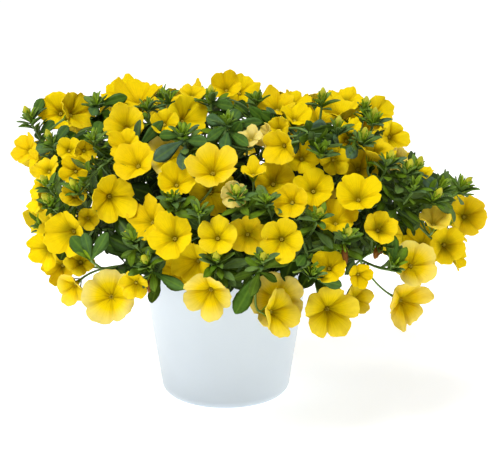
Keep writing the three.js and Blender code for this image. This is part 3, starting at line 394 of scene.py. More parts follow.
def square_to(v, axis):
    """The part of a direction that is square to an axis."""
    return unit(v - axis * (v @ axis))


def any_square_to(axis):
    """A direction square to an axis, always the same one for that axis."""
    return square_to(UP if abs(axis[2]) < 0.9 else np.array((1.0, 0.0, 0.0)), axis)


def turned_about(v, axis, angle):
    """A direction turned about an axis."""
    across = np.cross(axis, v)
    return v * math.cos(angle) + across * math.sin(angle) + axis * (v @ axis) * (1 - math.cos(angle))


def mound_shares(p):
    """How far out and up points stand as shares of the mound's reach, and its reach up there."""
    height = np.where(p[..., 2] > MOUND_MIDDLE[2], MOUND_UP, MOUND_DOWN)
    out = np.hypot((p[..., 0] - MOUND_MIDDLE[0]) / MOUND_WIDE, (p[..., 1] - MOUND_MIDDLE[1]) / MOUND_DEEP)
    return out, (p[..., 2] - MOUND_MIDDLE[2]) / height, height


def mound_level(p):
    """0 in the mound's middle and 1 on its skin."""
    out, up, _ = mound_shares(p)
    return (out**MOUND_POWER + np.abs(up) ** MOUND_POWER) ** (1 / MOUND_POWER)


def mound_outward(p):
    """Which way is straight out of the mound at a point."""
    out, up, height = mound_shares(p)
    level = np.maximum(out, 1e-6) ** (MOUND_POWER - 2)
    x = level * (p[..., 0] - MOUND_MIDDLE[0]) / MOUND_WIDE**2
    y = level * (p[..., 1] - MOUND_MIDDLE[1]) / MOUND_DEEP**2
    return unit(np.stack([x, y, np.sign(up) * np.abs(up) ** (MOUND_POWER - 1) / height], -1))


def sight_point(x, z, share):
    """A point on the line of sight through x, z of the upright plane, at a share of its length."""
    return FRONT_EYE + (np.array((x, 0.0, z)) - FRONT_EYE) * share


def sight_share(x, z):
    """The share at which the line of sight first meets the mound, or passes closest to it."""
    shares = 0.8 + np.arange(201) * 0.002
    levels = mound_level(np.array([sight_point(x, z, s) for s in shares]))
    inside = np.nonzero(levels <= 1)[0]
    return shares[inside[0]] if len(inside) else shares[np.argmin(levels)]


def ring_points(centre, axis, side, radius, count):
    """Points of a circle about an axis, from its side on."""
    across = np.cross(axis, side)
    angle = np.arange(count) / count * 2 * math.pi
    return centre + radius * (np.outer(np.cos(angle), side) + np.outer(np.sin(angle), across))


def sheet_height(rho, radius, length):
    """Height of a funnel's sheet over the flower's base, by the distance from its axis."""
    q = np.minimum(rho / radius, 1)
    low = 0.45 + 0.3 * np.maximum(q - 0.13, 0) / 0.27
    return length * np.where(q < 0.4, low, 0.75 + 0.25 * (q - 0.4) / 0.6)


class Flower:
    """An open flower: the middle of its face, where that looks, its base, and points to test."""

    def __init__(self, face, heading, width):
        self.face = face
        self.axis = heading
        self.radius = width / 2
        self.length = width * FLOWER_LENGTH
        self.base = face - heading * self.length
        side = any_square_to(heading)
        rings = []
        for share, count in ((1, 12), (0.7, 7), (0.4, 5)):
            radius = share * self.radius
            middle = self.base + heading * sheet_height(radius, self.radius, self.length)
            rings.append(ring_points(middle, heading, side, radius, count))
        tube = self.base + np.outer((0, 0.2, 0.4), heading) * self.length
        self.points = np.concatenate(rings + [tube])


def crossings(bases, axes, radii, lengths, points, gap):
    """For each flower, how many points of a chain touch it, and one more where it passes through."""
    from_base = points - bases[:, None]
    height = np.einsum("fpk,fk->fp", from_base, axes)
    rho = np.sqrt(np.maximum((from_base**2).sum(-1) - height**2, 0))
    radii = radii[:, None]
    lengths = lengths[:, None]
    near = ~((rho > radii + gap) | (height < -gap))
    low = height < 0.5 * lengths
    over = height - sheet_height(rho, radii, lengths)
    touch = near & np.where(low, rho < TUBE_ROOM + gap, np.abs(over) < gap)
    front = near & ~low & ~touch & (over > 0)
    back = near & ~touch & ~front
    return touch.sum(1) + (front.any(1) & back.any(1))


def facts(placed):
    """Bases, axes, radii and lengths of flowers, for crossings."""
    return (
        np.array([f.base for f in placed]),
        np.array([f.axis for f in placed]),
        np.array([f.radius for f in placed]),
        np.array([f.length for f in placed]),
    )


def is_clear(flower, placed):
    """True where a flower stays clear of the pot and of the flowers placed before it."""
    out = np.hypot(flower.points[:, 0], flower.points[:, 1])
    low = flower.points[:, 2] < POT_HEIGHT + POT_ROOM
    if (low & (out < POT_RIM_RADIUS + POT_ROOM)).any():
        return False
    near = []
    for other in placed:
        reach = other.radius + flower.radius + FLOWER_GAP + max(other.length, flower.length)
        if np.linalg.norm(other.face - flower.face) <= reach:
            near.append(other)
    if not near:
        return True
    own_points = np.broadcast_to(flower.points, (len(near),) + flower.points.shape)
    if crossings(*facts(near), own_points, FLOWER_GAP).any():
        return False
    near_points = np.array([other.points for other in near])
    return not crossings(*facts([flower] * len(near)), near_points, FLOWER_GAP).any()


flowers = []
for x, z, width, turn, nod in FRONT_FLOWERS:
    a = math.radians(turn)
    b = math.radians(nod)
    heading = np.array((math.sin(a) * math.cos(b), -math.cos(a) * math.cos(b), math.sin(b)))
    share = sight_share(x, z)
    for step in range(SIGHT_TRIES):
        at = share + step * SHARE_STEP
        flower = Flower(sight_point(x, z, at), heading, width * at)
        if is_clear(flower, flowers):
            flower.seen_at = (x, z)
            flower.seen_radius = width / 2
            flowers.append(flower)
            break


def mound_point(index, count, level):
    """A point of the mound at a level, one of a count spread evenly from its foot to its top."""
    rise = -0.38 + 1.36 * index / count
    flat = math.sqrt(1 - rise * rise)
    angle = index * GOLDEN_ANGLE
    ray = np.array((math.cos(angle) * flat, math.sin(angle) * flat, rise * 0.8))
    return MOUND_MIDDLE + ray * (level / mound_level(MOUND_MIDDLE + ray))


def seen_from_front(p):
    """1 where the mound's skin looks at the front eye, and below 0 where it looks away."""
    return mound_outward(p) @ unit(FRONT_EYE - p)


def seen_upright(points):
    """Where the front eye sees points in the upright plane through the pot's axis, as x and z."""
    seen = FRONT_EYE + (points - FRONT_EYE) * (FRONT_EYE[1] / (FRONT_EYE[1] - points[:, 1]))[:, None]
    return seen[:, 0:1], seen[:, 2:3]


def inside_outline(points):
    """True where the front eye sees every point inside the plant's outline."""
    x, z = seen_upright(points)
    start = OUTLINE
    stop = np.roll(OUTLINE, -1, 0)
    over = (start[:, 1] > z) != (stop[:, 1] > z)
    rise = stop[:, 1] - start[:, 1]
    share = (z - start[:, 1]) / np.where(rise == 0, 1, rise)
    left = x < start[:, 0] + (stop[:, 0] - start[:, 0]) * share
    return ((over & left).sum(1) % 2 == 1).all()


# The back's flowers, from the top down, each on the mound's skin or a little under it.
front_count = len(flowers)
draw = seeded(BACK_SEED)
for i in range(BACK_TRIES, 0, -1):
    if len(flowers) >= front_count + BACK_FLOWERS:
        break
    a, b, c, d = (next(draw) for _ in range(4))
    for level in BACK_LEVELS:
        face = mound_point(i - 0.5, BACK_TRIES, level)
        heading = unit(mound_outward(face) + np.array((a - 0.5, b - 0.5, 0.5 * c)))
        flower = Flower(face, heading, BACK_LEAST + (BACK_MOST - BACK_LEAST) * d)
        if inside_outline(flower.points):
            crowded = any(np.linalg.norm(f.face - face) < BACK_SPACING for f in flowers)
            if seen_from_front(face) <= UNSEEN and not crowded and is_clear(flower, flowers):
                flower.seen_at = None
                flowers.append(flower)
            break

# Front flowers turn their faces up to the light, each as far as its neighbours let it.
for number, flower in enumerate(flowers[:front_count]):
    others = flowers[:number] + flowers[number + 1 :]
    share = min(max((flower.face[2] - LIFT_FROM) / (LIFT_ALL - LIFT_FROM), 0), 1)
    for lift in LIFTS:
        lifted = Flower(flower.face, unit(flower.axis + UP * lift * share), 2 * flower.radius)
        if is_clear(lifted, others):
            flower.axis = lifted.axis
            flower.base = lifted.base
            flower.points = lifted.points
            break
all_flowers = facts(flowers)

# ==== Where the stems run ====
# Soft green stems, a little over two millimetres thick, each rooted at its own point in the soil.
# They arch out over the rim, and each flower hangs on a thin stalk from the stem that is nearest.
ROOT_RINGS = ((11, 0.15), (25, 0.33), (39.5, 0.52))
ROOT_DEPTH = 8
STEM_SAMPLES = 42
END_TRIES = 21
ROSETTE_REACH = 9
ROSETTE_RADIUS = 8
ROSETTE_GAP = 1.2
BACK_ENDS = 18
BACK_END_SPACING = 44
BACK_END_LOWEST = 105
ARCHES = (0, 14, 28, 44, 60, -10, 75)
LEANS = (0, 9, -9, 18, -18, 27, -27, 36, -36)
RIM_ROOM = 5
FLOWER_ROOM = 2.2
STALK_ROOM = 1.3
OWN_STEM_GAP = 2.2
LINE_GAP = 4.1
TIP_GAP = 6
STALK_GAP = 3
STALK_TRIES = 24
STALK_TURN = 0.2
STALK_BEHIND = 8
HALF_SHARES = np.arange(7)[:, None] / 6
STALK_CLASH_COST = 25
STALK_BENDS = (0.55, 0.35, 0.8)
STALK_STARTS = (0.4, 0.45, 0.5, 0.55, 0.6, 0.65, 0.7, 0.75, 0.8, 0.85, 0.9)
# x and z of each stem's end on the front, as it is seen.
STEM_ENDS = [
    (-137, 200), (-122, 183), (-90, 212), (-93, 185), (-54, 209), (-40, 214), (-10, 214), (2, 197),
    (22, 214), (68, 212), (79, 192), (68, 176), (98, 206), (104, 198), (97, 184), (115, 168),
    (128, 162), (135, 164), (134, 150), (153, 150), (148, 142), (168, 150), (-125, 151), (-124, 138),
    (-105, 148), (-66, 112), (-56, 94), (-37, 143), (-19, 132), (8, 144), (29, 141), (-6, 96),
    (27, 96), (66, 128), (86, 114), (112, 110), (-97, 98), (120, 92), (62, 86), (-30, 190),
]


class StemEnd:
    """The end of a stem, where its rosette of young leaves stands."""

    def __init__(self, point, share):
        self.point = point
        self.share = share
        self.axis = unit(mound_outward(point) * 0.7 + UP * 0.75)

    def points(self):
        """The stem's end, the rosette's top, and a ring round its middle."""
        middle = self.point + self.axis * 5
        ring = ring_points(middle, self.axis, any_square_to(self.axis), ROSETTE_RADIUS, 5)
        return np.concatenate([[self.point, self.point + self.axis * ROSETTE_REACH], ring])

    def clashes(self):
        """How many points of the rosette touch a flower."""
        return crossings(*all_flowers, self.points()[None], ROSETTE_GAP).sum()

    def tip_line(self):
        """Points up the rosette's middle, which other stems and stalks stay clear of."""
        return self.point + np.outer((2, 5, 8), self.axis)


ends = []
for x, z in STEM_ENDS:
    share = sight_share(x, z)
    least = math.inf
    for step in range(END_TRIES):
        shift = -(step + 1) / 2 if step % 2 else step / 2
        at = share + shift * SHARE_STEP
        end = StemEnd(sight_point(x, z, at), at)
        count = end.clashes()
        if count < least:
            least = count
            best = end
    best.seen_at = (x, z)
    ends.append(best)
front_ends = len(ends)
for i in range(BACK_TRIES, 0, -1):
    if len(ends) >= front_ends + BACK_ENDS:
        break
    for level in BACK_LEVELS:
        end = StemEnd(mound_point(i, BACK_TRIES, level), 1)
        if inside_outline(end.points()):
            crowded = any(np.linalg.norm(other.point - end.point) < BACK_END_SPACING for other in ends)
            hidden = end.point[2] >= BACK_END_LOWEST and seen_from_front(end.point) <= UNSEEN
            if hidden and not crowded and end.clashes() == 0:
                end.seen_at = None
                ends.append(end)
            break


def reach_out(end):
    """How far from the pot's axis a stem ends."""
    return math.hypot(end.point[0], end.point[1])


def bearing(end):
    """In which direction from the pot's axis a stem ends."""
    return math.atan2(end.point[1], end.point[0])


# The roots stand in rings: the stems that reach least far in the inmost one.
by_reach = sorted(ends, key=reach_out)
start = 0
for k, (radius, part) in enumerate(ROOT_RINGS):
    stop = len(ends) if k == len(ROOT_RINGS) - 1 else start + math.floor(part * len(ends) + 0.5)
    group = sorted(by_reach[start:stop], key=bearing)
    spread = 2 * math.pi / len(group)
    lead = sum(bearing(end) - i * spread for i, end in enumerate(group)) / len(group)
    for i, end in enumerate(group):
        angle = lead + i * spread
        x = radius * math.cos(angle)
        y = radius * math.sin(angle)
        end.root = np.array((x, y, SOIL_TOP - ROOT_DEPTH))
    start = stop


def stem_curve(end, arch, lean):
    """Points of a stem from its root to its end, raised by arch and pushed aside by lean."""
    span = np.linalg.norm(end.root - end.point)
    outward = unit(np.array((end.point[0], end.point[1], 0.0)))
    sideways = np.cross(UP, outward)
    first = end.root + UP * (0.4 * span + arch) + outward * (0.08 * span) + sideways * lean
    second = end.point - end.axis * (0.33 * span) + UP * arch + sideways * lean
    t = (np.arange(STEM_SAMPLES + 1) / STEM_SAMPLES)[:, None]
    s = 1 - t
    return s**3 * end.root + 3 * s**2 * t * first + 3 * s * t**2 * second + t**3 * end.point


def near_lines(points, lines, gap):
    """How many points of a line come near the points of other lines."""
    if not len(lines):
        return 0
    apart = ((points[None, :, None] - lines[:, None]) ** 2).sum(-1).min(2)
    return int((apart < gap * gap).sum())


def near_rim(points):
    """How many points run into the pot's rim."""
    out = np.hypot(points[:, 0], points[:, 1])
    low = points[:, 2] < POT_HEIGHT + POT_ROOM
    return int((low & (out > POT_RIM_RADIUS - POT_WALL - RIM_ROOM)).sum())


def run_stem(end, other_tips, other_lines):
    """Run a stem to its end by the arch and lean that clash least with what stands there."""
    least = math.inf
    for arch in ARCHES:
        for lean in LEANS:
            points = stem_curve(end, arch, lean)
            clashes = crossings(*all_flowers, points[None], FLOWER_ROOM).sum() + 2 * near_rim(points)
            clashes += near_lines(points, other_tips, TIP_GAP)
            clashes += near_lines(points, other_lines, LINE_GAP)
            if clashes < least:
                least = clashes
                end.line = points
            if least == 0:
                return


lines = []
tips = np.array([end.tip_line() for end in ends])
for k, end in enumerate(ends):
    run_stem(end, np.delete(tips, k, 0), np.array(lines))
    lines.append(end.line)
lines = np.array(lines)

starts = [
    (k, lines[k][math.floor(t * STEM_SAMPLES + 0.5)]) for k in range(len(ends)) for t in STALK_STARTS
]
start_points = np.array([p for _, p in starts])
taken = np.zeros(len(starts), bool)
stalks = []


def run_stalk(number, head):
    """Hang a flower by the stalk that is shortest and clashes least, and give its place."""
    behind = head.base - head.axis * STALK_BEHIND
    reach = np.sqrt(((start_points - behind) ** 2).sum(1))
    order = [i for i in np.argsort(reach, kind="stable") if not taken[i]][:STALK_TRIES]
    others = tuple(v[np.arange(len(flowers)) != number] for v in all_flowers)
    least = math.inf
    for i in order:
        owner, root = starts[i]
        other_lines = np.delete(lines, owner, 0)
        for bend in STALK_BENDS:
            if reach[i] >= least:
                continue
            pull = head.base - head.axis * (bend * np.linalg.norm(root - head.base))
            knee = 0.25 * root + 0.5 * pull + 0.25 * head.base
            first = root + (knee - root) * HALF_SHARES[:-1]
            points = np.concatenate([first, knee + (head.base - knee) * HALF_SHARES])
            parts = (unit(knee - root), unit(head.base - knee), head.axis)
            sharp = sum(parts[j] @ parts[j + 1] < STALK_TURN for j in (0, 1))
            clashes = crossings(*others, points[None, 2:-1], STALK_ROOM).sum() + sharp
            clashes += near_lines(points, other_lines, STALK_GAP)
            clashes += near_lines(points[4:], lines[owner][None], OWN_STEM_GAP)
            clashes += near_lines(points, tips, TIP_GAP)
            clashes += near_lines(points[1:], np.array(stalks), STALK_GAP)
            cost = clashes * STALK_CLASH_COST + reach[i]
            if cost < least:
                least = cost
                chosen = i
                head.stalk = points
                head.pull = pull
                head.owner = owner
    return chosen


for number, head in enumerate(flowers):
    taken[run_stalk(number, head)] = True
    stalks.append(head.stalk)

# ==== Stems and stalks ====
# The stems are soft, round and fresh green, thinner towards their ends. A stalk is a thin green
# thread that carries one flower, a little thicker where it meets it.
STEM_RADIUS = 1.15
STEM_TIP_RADIUS = 0.8
STALK_RADIUS = 0.75
STALK_FOOT_RADIUS = 0.95
STALK_TOP_RADIUS = 1.05
STEM_SIDES = 8
STALK_SIDES = 6
STALK_POINTS = 12
ROSETTE_HUB = 2.2


def tube(line, radii, sides):
    """A closed round tube along a line of points."""
    ways = unit(np.diff(line, axis=0))
    axes = unit(np.concatenate([ways[:1], ways[:-1] + ways[1:], ways[-1:]]))
    side = any_square_to(axes[0])
    rings = []
    for middle, axis, radius in zip(line, axes, radii):
        side = square_to(side, axis)
        rings.append(ring_points(middle, axis, side, radius, sides))
    return closed(rings, line[0], line[-1])


stem_finish, tree, shader = new_finish("green_stem", Roughness=0.5)
cloud = node(
    tree, "ShaderNodeGroup", -700, 0, node_tree=blotches, Scale=220.0, Detail=3.0,
    Dark=(0.10, 0.20, 0.03, 1), Light=(0.21, 0.34, 0.07, 1),
)
fill(tree, shader.inputs["Base Color"], cloud.outputs["Color"])

greens = [Shape() for _ in ends]
for end, shape in zip(ends, greens):
    tip = end.point - end.axis * ROSETTE_HUB
    line = np.concatenate([end.line[:-3:2], tip[None], end.point[None]])
    radii = np.linspace(STEM_RADIUS, STEM_TIP_RADIUS, len(line))
    shape.add(*tube(line, radii, STEM_SIDES))
for head in flowers:
    t = np.linspace(0, 1, STALK_POINTS)[:, None]
    start = head.stalk[0]
    line = (1 - t) ** 2 * start + 2 * (1 - t) * t * head.pull + t**2 * head.base
    swell = (STALK_FOOT_RADIUS, STALK_RADIUS, STALK_RADIUS, STALK_TOP_RADIUS)
    radii = np.interp(t[:, 0], (0, 0.1, 0.85, 1), swell)
    greens[head.owner].add(*tube(line, radii, STALK_SIDES))

# ==== Leaves ====
# Soft blunt leaves, widest towards their rounded tips, that narrow to a short stalk, with a pale
# midrib. They stand all round each stem, and small young ones crowd into a rosette at its end.
LEAF_SPACING = 2.25
LEAF_FROM = 0.2
LEAF_TO = 0.97
LEAF_LEAST = 10
LEAF_MOST = 19
LEAF_WIDTH = 0.37
LEAF_THICK = 0.5
SEPAL_THICK = 0.45
LEAF_TRIES = 5
LEAF_SEED = 77
ROSETTE_LEAVES = 18
ROSETTE_UPRIGHT = 0.55
ROSETTE_LEAF = 14.5
BLADE_STATIONS = np.array((0, 0.2, 0.42, 0.64, 0.82, 0.94, 1))
LEAF_OUTLINE = np.array((0.16, 0.28, 0.66, 0.97, 0.92, 0.58, 0.22))
YOUNG_OUTLINE = np.array((0.3, 0.57, 0.88, 1, 0.84, 0.51, 0.18))
SEPAL_OUTLINE = np.array((0.5, 0.73, 0.91, 1, 0.89, 0.63, 0.3))
ACROSS = np.array((-1, -0.5, 0, 0.5, 1, 0.5, 0, -0.5))
BELOW = np.array((0, 0, 0, 0, 0, 1, 1, 1))
# A near-black green, the painted shade of leaves deep in the plant.
DEEP_SHADE_GREEN = np.array((0.007, 0.021, 0.001))
MIDDLE = np.array((0.062, 0.146, 0.003))
BLUISH = np.array((0.082, 0.148, 0.078))
YOUNG = np.array((0.30, 0.45, 0.01))
BLUE_FROM = 0.6


def attribute(tree, name, x, y):
    """What a finish reads at each point of the piece under that name."""
    return node(tree, "ShaderNodeAttribute", x, y, attribute_name=name).outputs


def ranged(tree, x, y, value, given, wanted, interpolation="LINEAR"):
    """A value mapped from one range to another, and held at its ends."""
    made = node(
        tree, "ShaderNodeMapRange", x, y, interpolation_type=interpolation, Value=value,
        From_Min=given[0], From_Max=given[1], To_Min=wanted[0], To_Max=wanted[1],
    )
    return made.outputs["Result"]


# A fine unevenness that makes a leaf's or a petal's own colour darker and lighter.
mottling, given, amount = new_group(
    "mottling", Base=BLACK, Least=1.0, Most=1.0, Scale=300.0, Detail=3.0, Roughness=0.5
)
tone = ranged(mottling, -450, -200, amount, (0.0, 1.0), (given["Least"], given["Most"]))
colour = mixed(mottling, -250, 0, 1.0, given["Base"], tone, "MULTIPLY")
node(mottling, "NodeGroupOutput", 0, 0, Color=colour, Amount=amount)

leaf_finish, tree, shader = new_finish("downy_leaf", Roughness=0.48, Specular_IOR_Level=0.14)
down = node(
    tree, "ShaderNodeGroup", -700, 200, node_tree=mottling, Least=0.5, Most=1.45, Scale=300.0,
    Detail=4.0, Base=attribute(tree, "leaf_colour", -900, 200)["Color"],
)
rib = ranged(tree, -700, -100, attribute(tree, "across", -900, -100)["Fac"], (0.02, 0.2), (0.4, 0.0))
ribbed = mixed(tree, -280, 200, rib, down.outputs["Color"], (0.16, 0.28, 0.02, 1))
fill(tree, shader.inputs["Base Color"], ribbed)
fill(tree, shader.inputs["Normal"], bumped(tree, -280, -200, down.outputs["Amount"], 0.3, 0.0003))

# Openings between the stems, kept free of leaves: x, z and half width and height of each one.
GAPS = np.array([
    (-89, 95, 13, 8), (113, 80, 9, 13), (108, 96, 9, 6), (148, 168, 6, 5), (163, 99, 6, 6),
    (124, 194, 5, 5),
])
# The middle of each front flower's face, by this share of its radius, is kept free of stem leaves.
FACE_SHARE = 0.5
faces_seen = np.array([(*f.seen_at, f.seen_radius, f.face[1]) for f in flowers[:front_count]])


def in_gap(points):
    """True where the front eye sees any of the points in one of the openings."""
    x, z = seen_upright(points)
    return (((x - GAPS[:, 0]) / GAPS[:, 2]) ** 2 + ((z - GAPS[:, 1]) / GAPS[:, 3]) ** 2 < 1).any()


def hides_flower(points):
    """True where any of the points stands before the middle of a front flower's face."""
    x, z = seen_upright(points)
    within = np.hypot(x - faces_seen[:, 0], z - faces_seen[:, 1]) < FACE_SHARE * faces_seen[:, 2]
    return (within & (points[:, 1:2] < faces_seen[:, 3])).any()


class Blade:
    """One leaf blade: where it starts, where it heads, which way its face looks, and its form."""

    def __init__(self, root, heading, face, length, width, arch=0.1, cup=0.3, sway=0.0):
        self.root = root
        self.heading = heading
        self.ridge = square_to(face, heading)
        self.length = length
        self.width = width
        self.arch = arch
        self.cup = cup
        self.sway = sway
        self.side = np.cross(self.ridge, heading)

    def at(self, along, across):
        """Points of the middle of the blade at shares of its length and of its half width."""
        drop = self.arch * self.length * along**2
        aside = across * self.width / 2 + self.sway * self.length * along**2
        out = np.multiply.outer(along * self.length, self.heading) - np.multiply.outer(drop, self.ridge)
        return self.root + out + np.multiply.outer(aside, self.side)

    def fits(self, in_front=False):
        """True where it is clear of the flowers and the pot's rim, and hides no flower unless it may."""
        probe = self.at(np.array((0.35, 0.6, 0.6, 0.8, 0.8, 1)), np.array((0, -1, 1, -0.8, 0.8, 0)))
        out = np.hypot(probe[:, 0], probe[:, 1])
        low = probe[:, 2] < POT_HEIGHT + 2
        in_rim = low & (out > POT_RIM_RADIUS - 4) & (out < POT_RIM_RADIUS + 2)
        hidden = in_gap(probe) or (not in_front and hides_flower(probe))
        return not (in_rim.any() or hidden) and crossings(*all_flowers, probe[None], 0.4).sum() == 0

    def add_to(self, shape, colour, outline=LEAF_OUTLINE, thick=LEAF_THICK):
        """Add the blade to its spray: a closed thin body, hollowed along its midrib."""
        half = outline[:, None] * self.width / 2 * ACROSS
        middle = self.at(BLADE_STATIONS, np.zeros(len(BLADE_STATIONS)))
        lift = self.cup * np.abs(half * ACROSS) - BELOW * thick * (1 - 0.4 * np.abs(ACROSS))
        rings = middle[:, None] - half[..., None] * self.side + lift[..., None] * self.ridge
        points, faces = closed(list(rings), middle[0], middle[-1] + self.heading * 0.02 * self.length)
        stripes = np.concatenate([np.tile(np.abs(ACROSS), len(BLADE_STATIONS)), (0, 0)])
        shape.add(points, faces, 1, leaf_colour=colour, across=stripes)


def mix(a, b, share):
    """A share of the way from one colour or point to another."""
    return a + (b - a) * share


def grow_stem_leaves(shape, end, draw):
    """Leaves all round a stem, with painted shade: dark deep in the plant, and lighter out at its skin."""
    stem_length = np.linalg.norm(np.diff(end.line, axis=0), axis=1).sum()
    count = int(stem_length * (1 - LEAF_FROM) / LEAF_SPACING)
    for i in range(count):
        t = LEAF_FROM + (LEAF_TO - LEAF_FROM) * (i + next(draw)) / count
        at = min(int(t * STEM_SAMPLES), STEM_SAMPLES - 1)
        root = mix(end.line[at], end.line[at + 1], t * STEM_SAMPLES - at)
        forward = unit(end.line[at + 1] - end.line[at])
        length = (LEAF_LEAST + (LEAF_MOST - LEAF_LEAST) * next(draw)) * (1.3 - 0.3 * t)
        width = length * LEAF_WIDTH * (0.75 + 0.5 * next(draw))
        tone = next(draw)
        arch = 0.35 * next(draw)
        cup = 0.1 + 0.35 * next(draw)
        blue = next(draw)
        sway = 0.5 * (next(draw) - 0.5)
        # Painted shade: a leaf's colour darkens the deeper in the mound it grows.
        light = np.clip((mound_level(root) - 0.6) / 0.38, 0, 1)
        blueness = 0.8 if blue > BLUE_FROM else 0.2 * blue
        colour = mix(mix(DEEP_SHADE_GREEN, MIDDLE, (0.3 + 0.7 * tone) * light), BLUISH, blueness * light)
        colour = mix(colour, YOUNG, 0.3 * t**4)
        for attempt in range(LEAF_TRIES):
            heading = turned_about(any_square_to(forward), forward, i * GOLDEN_ANGLE + attempt * 1.3)
            heading = unit(heading + forward * (0.4 + 0.35 * (attempt % 3)) + UP * 0.15)
            leaf = Blade(root, heading, forward, length, width, arch, cup, sway)
            if leaf.fits():
                leaf.add_to(shape, colour)
                break


def grow_rosette(shape, end, draw):
    """The young leaves at a stem's end, the inmost ones the smallest, steepest and lightest."""
    upright = unit(end.axis + UP * ROSETTE_UPRIGHT)
    size = 0.68 + 0.16 * next(draw)
    for i in range(ROSETTE_LEAVES):
        inner = i / (ROSETTE_LEAVES - 1)
        spread = math.radians(64 - 50 * inner + 34 * (next(draw) - 0.5))
        around = turned_about(any_square_to(upright), upright, i * GOLDEN_ANGLE + 0.7 * next(draw))
        heading = unit(around * math.sin(spread) + upright * math.cos(spread))
        length = size * (ROSETTE_LEAF - 5 * inner + 7 * (next(draw) - 0.4))
        colour = mix(mix(MIDDLE, BLUISH, next(draw)), YOUNG, 0.08 + 0.8 * inner**1.4)
        root = end.point - end.axis * (4 * (1 - inner) * next(draw))
        width = length * (0.38 - 0.14 * inner)
        sway = 0.35 * (next(draw) - 0.5)
        arch = 0.25 * next(draw) - 0.12 * inner
        leaf = Blade(root, heading, upright, length, width, arch, 0.45, sway)
        if leaf.fits(in_front=True):
            leaf.add_to(shape, colour, YOUNG_OUTLINE)


draw = seeded(LEAF_SEED)
for end, shape in zip(ends, greens):
    grow_stem_leaves(shape, end, draw)
    grow_rosette(shape, end, draw)

# Large single leaves that stand out among the flowers: x, z, length, width and share of blue.
LARGE_LEAVES = [
    (11, 65, 22, 12, 0.1), (-36, 80, 20, 8, 0.2), (-100, 102, 22, 11, 0.2), (-90, 109, 20, 9, 0.4),
    (-75, 98, 20, 9, 0.9), (120, 103, 22, 9, 0.1), (57, 101, 22, 8, 0.2), (150, 162, 20, 10, 1),
    (140, 160, 19, 9, 1), (-45, 176, 19, 11, 1), (-30, 170, 14, 9, 1), (62, 195, 20, 11, 1),
    (-133, 180, 17, 9, 0.2), (-118, 188, 17, 8, 0.4), (-75, 216, 20, 9, 0.1), (-130, 213, 16, 8, 0.2),
    (74, 187, 17, 8, 0.9), (-20, 186, 19, 9, 0.3), (22, 183, 18, 7, 0.2), (90, 178, 18, 9, 0.9),
    (-97, 217, 18, 9, 0.2), (-92, 208, 18, 9, 0.5), (-88, 199, 18, 9, 0.1), (-92, 190, 18, 8, 0.3),
    (-1, 212, 18, 9, 0.2), (9, 207, 18, 9, 0.4), (22, 206, 18, 8, 0.1), (-6, 200, 18, 9, 0.6),
    (8, 195, 18, 9, 0.2), (20, 199, 18, 8, 0.3), (30, 203, 18, 8, 0.1), (12, 186, 18, 8, 0.2),
    (-8, 190, 18, 8, 0.3), (0, 184, 18, 9, 0.5), (-48, 196, 16, 8, 0.3), (-40, 190, 16, 8, 0.2),
    (-128, 194, 15, 8, 0.3), (-88, 113, 18, 8, 0.2), (-100, 112, 18, 8, 0.4), (80, 80, 18, 8, 0.2),
]
# Old leaves deep in the plant, coloured near-black as painted shade, that close it behind the flowers: x
# and z.
INNER_LEAVES = [
    (-96, 109), (-82, 109), (-58, 149), (-55, 197), (-87, 186), (-86, 204), (-91, 199), (-75, 126),
    (108, 165), (-7, 209), (-27, 189), (-3, 203), (-26, 180), (-6, 215), (102, 86), (58, 83),
    (71, 79), (45, 89), (-76, 90), (-78, 113), (-98, 188), (9, 211), (-130, 187), (-108, 189),
    (-119, 167), (-123, 177), (-99, 212), (116, 99), (133, 128), (155, 123), (150, 161), (-117, 104),
]
INNER_LENGTH = 18
INNER_WIDTH = 12
INNER_STEPS = (8, 14, 20, 26)
LEAF_REACH = 30
LEAF_ROOTS = 60
stem_points = lines[:, STEM_SAMPLES // 4 :].reshape(-1, 3)
stem_owners = np.repeat(np.arange(len(ends)), STEM_SAMPLES + 1 - STEM_SAMPLES // 4)


def grow_large_leaf(x, z, length, width, colour, back=0):
    """Grow one leaf from the nearest stem that lets it stand where it is seen, so many steps back."""
    target = sight_point(x, z, sight_share(x, z) + back * SHARE_STEP)
    for nearest in np.argsort(np.linalg.norm(stem_points - target, axis=1))[:LEAF_ROOTS]:
        root = stem_points[nearest]
        way = target - root
        if np.linalg.norm(way) > LEAF_REACH:
            break
        reach = max(length, np.linalg.norm(way) + length * 0.3)
        leaf = Blade(root, unit(way), FRONT_EYE - root, reach, width, 0.08, 0.15)
        if leaf.fits(in_front=True):
            leaf.add_to(greens[stem_owners[nearest]], colour)
            return True
    return False


for x, z, length, width, blue in LARGE_LEAVES:
    grow_large_leaf(x, z, length, width, mix(MIDDLE, BLUISH, blue))
# The inner leaves take the dark green of painted shade.
for x, z in INNER_LEAVES:
    for back in INNER_STEPS:
        if grow_large_leaf(x, z, INNER_LENGTH, INNER_WIDTH, mix(DEEP_SHADE_GREEN, MIDDLE, 0.3), back):
            break

# ==== Open flowers ====
# A funnel of one thin soft sheet: a narrow tube that flares into five broad joined lobes, with a
# fold where two lobes join and a fine dark vein along the middle of each.
LOBES = 5
ROUND = 55
SHEET = 0.42
THROAT = 0.13
TUBE_RINGS = ((0, 1.0), (0.12, 1.25), (0.28, 1.6))
FLOWER_SEED = 5
ANTHER_STATIONS = (-0.9, -0.5, 0.5, 0.9)
ANTHER_RADII = (0.3, 0.55, 0.55, 0.3)
ANTHER_SIDES = 6
SEPAL_LONGEST = 8.2
SEPAL_WIDTH = 1.8
FRONT_RINGS = np.array((1, 0.975, 0.92, 0.83, 0.72, 0.6, 0.48, 0.37, 0.27, 0.19, 0.13, 0.1, 0.07))
BACK_RINGS = FRONT_RINGS[::-1][3:]
FRESH = np.array((0.85, 0.625, 0.0))
GOLDEN = np.array((0.78, 0.50, 0.0))
PALE = np.array((0.80, 0.66, 0.17))
CREAM = np.array((0.84, 0.70, 0.27))
OLIVE = np.array((0.29, 0.24, 0.0))
UNDERSIDE = np.array((0.74, 0.56, 0.02))

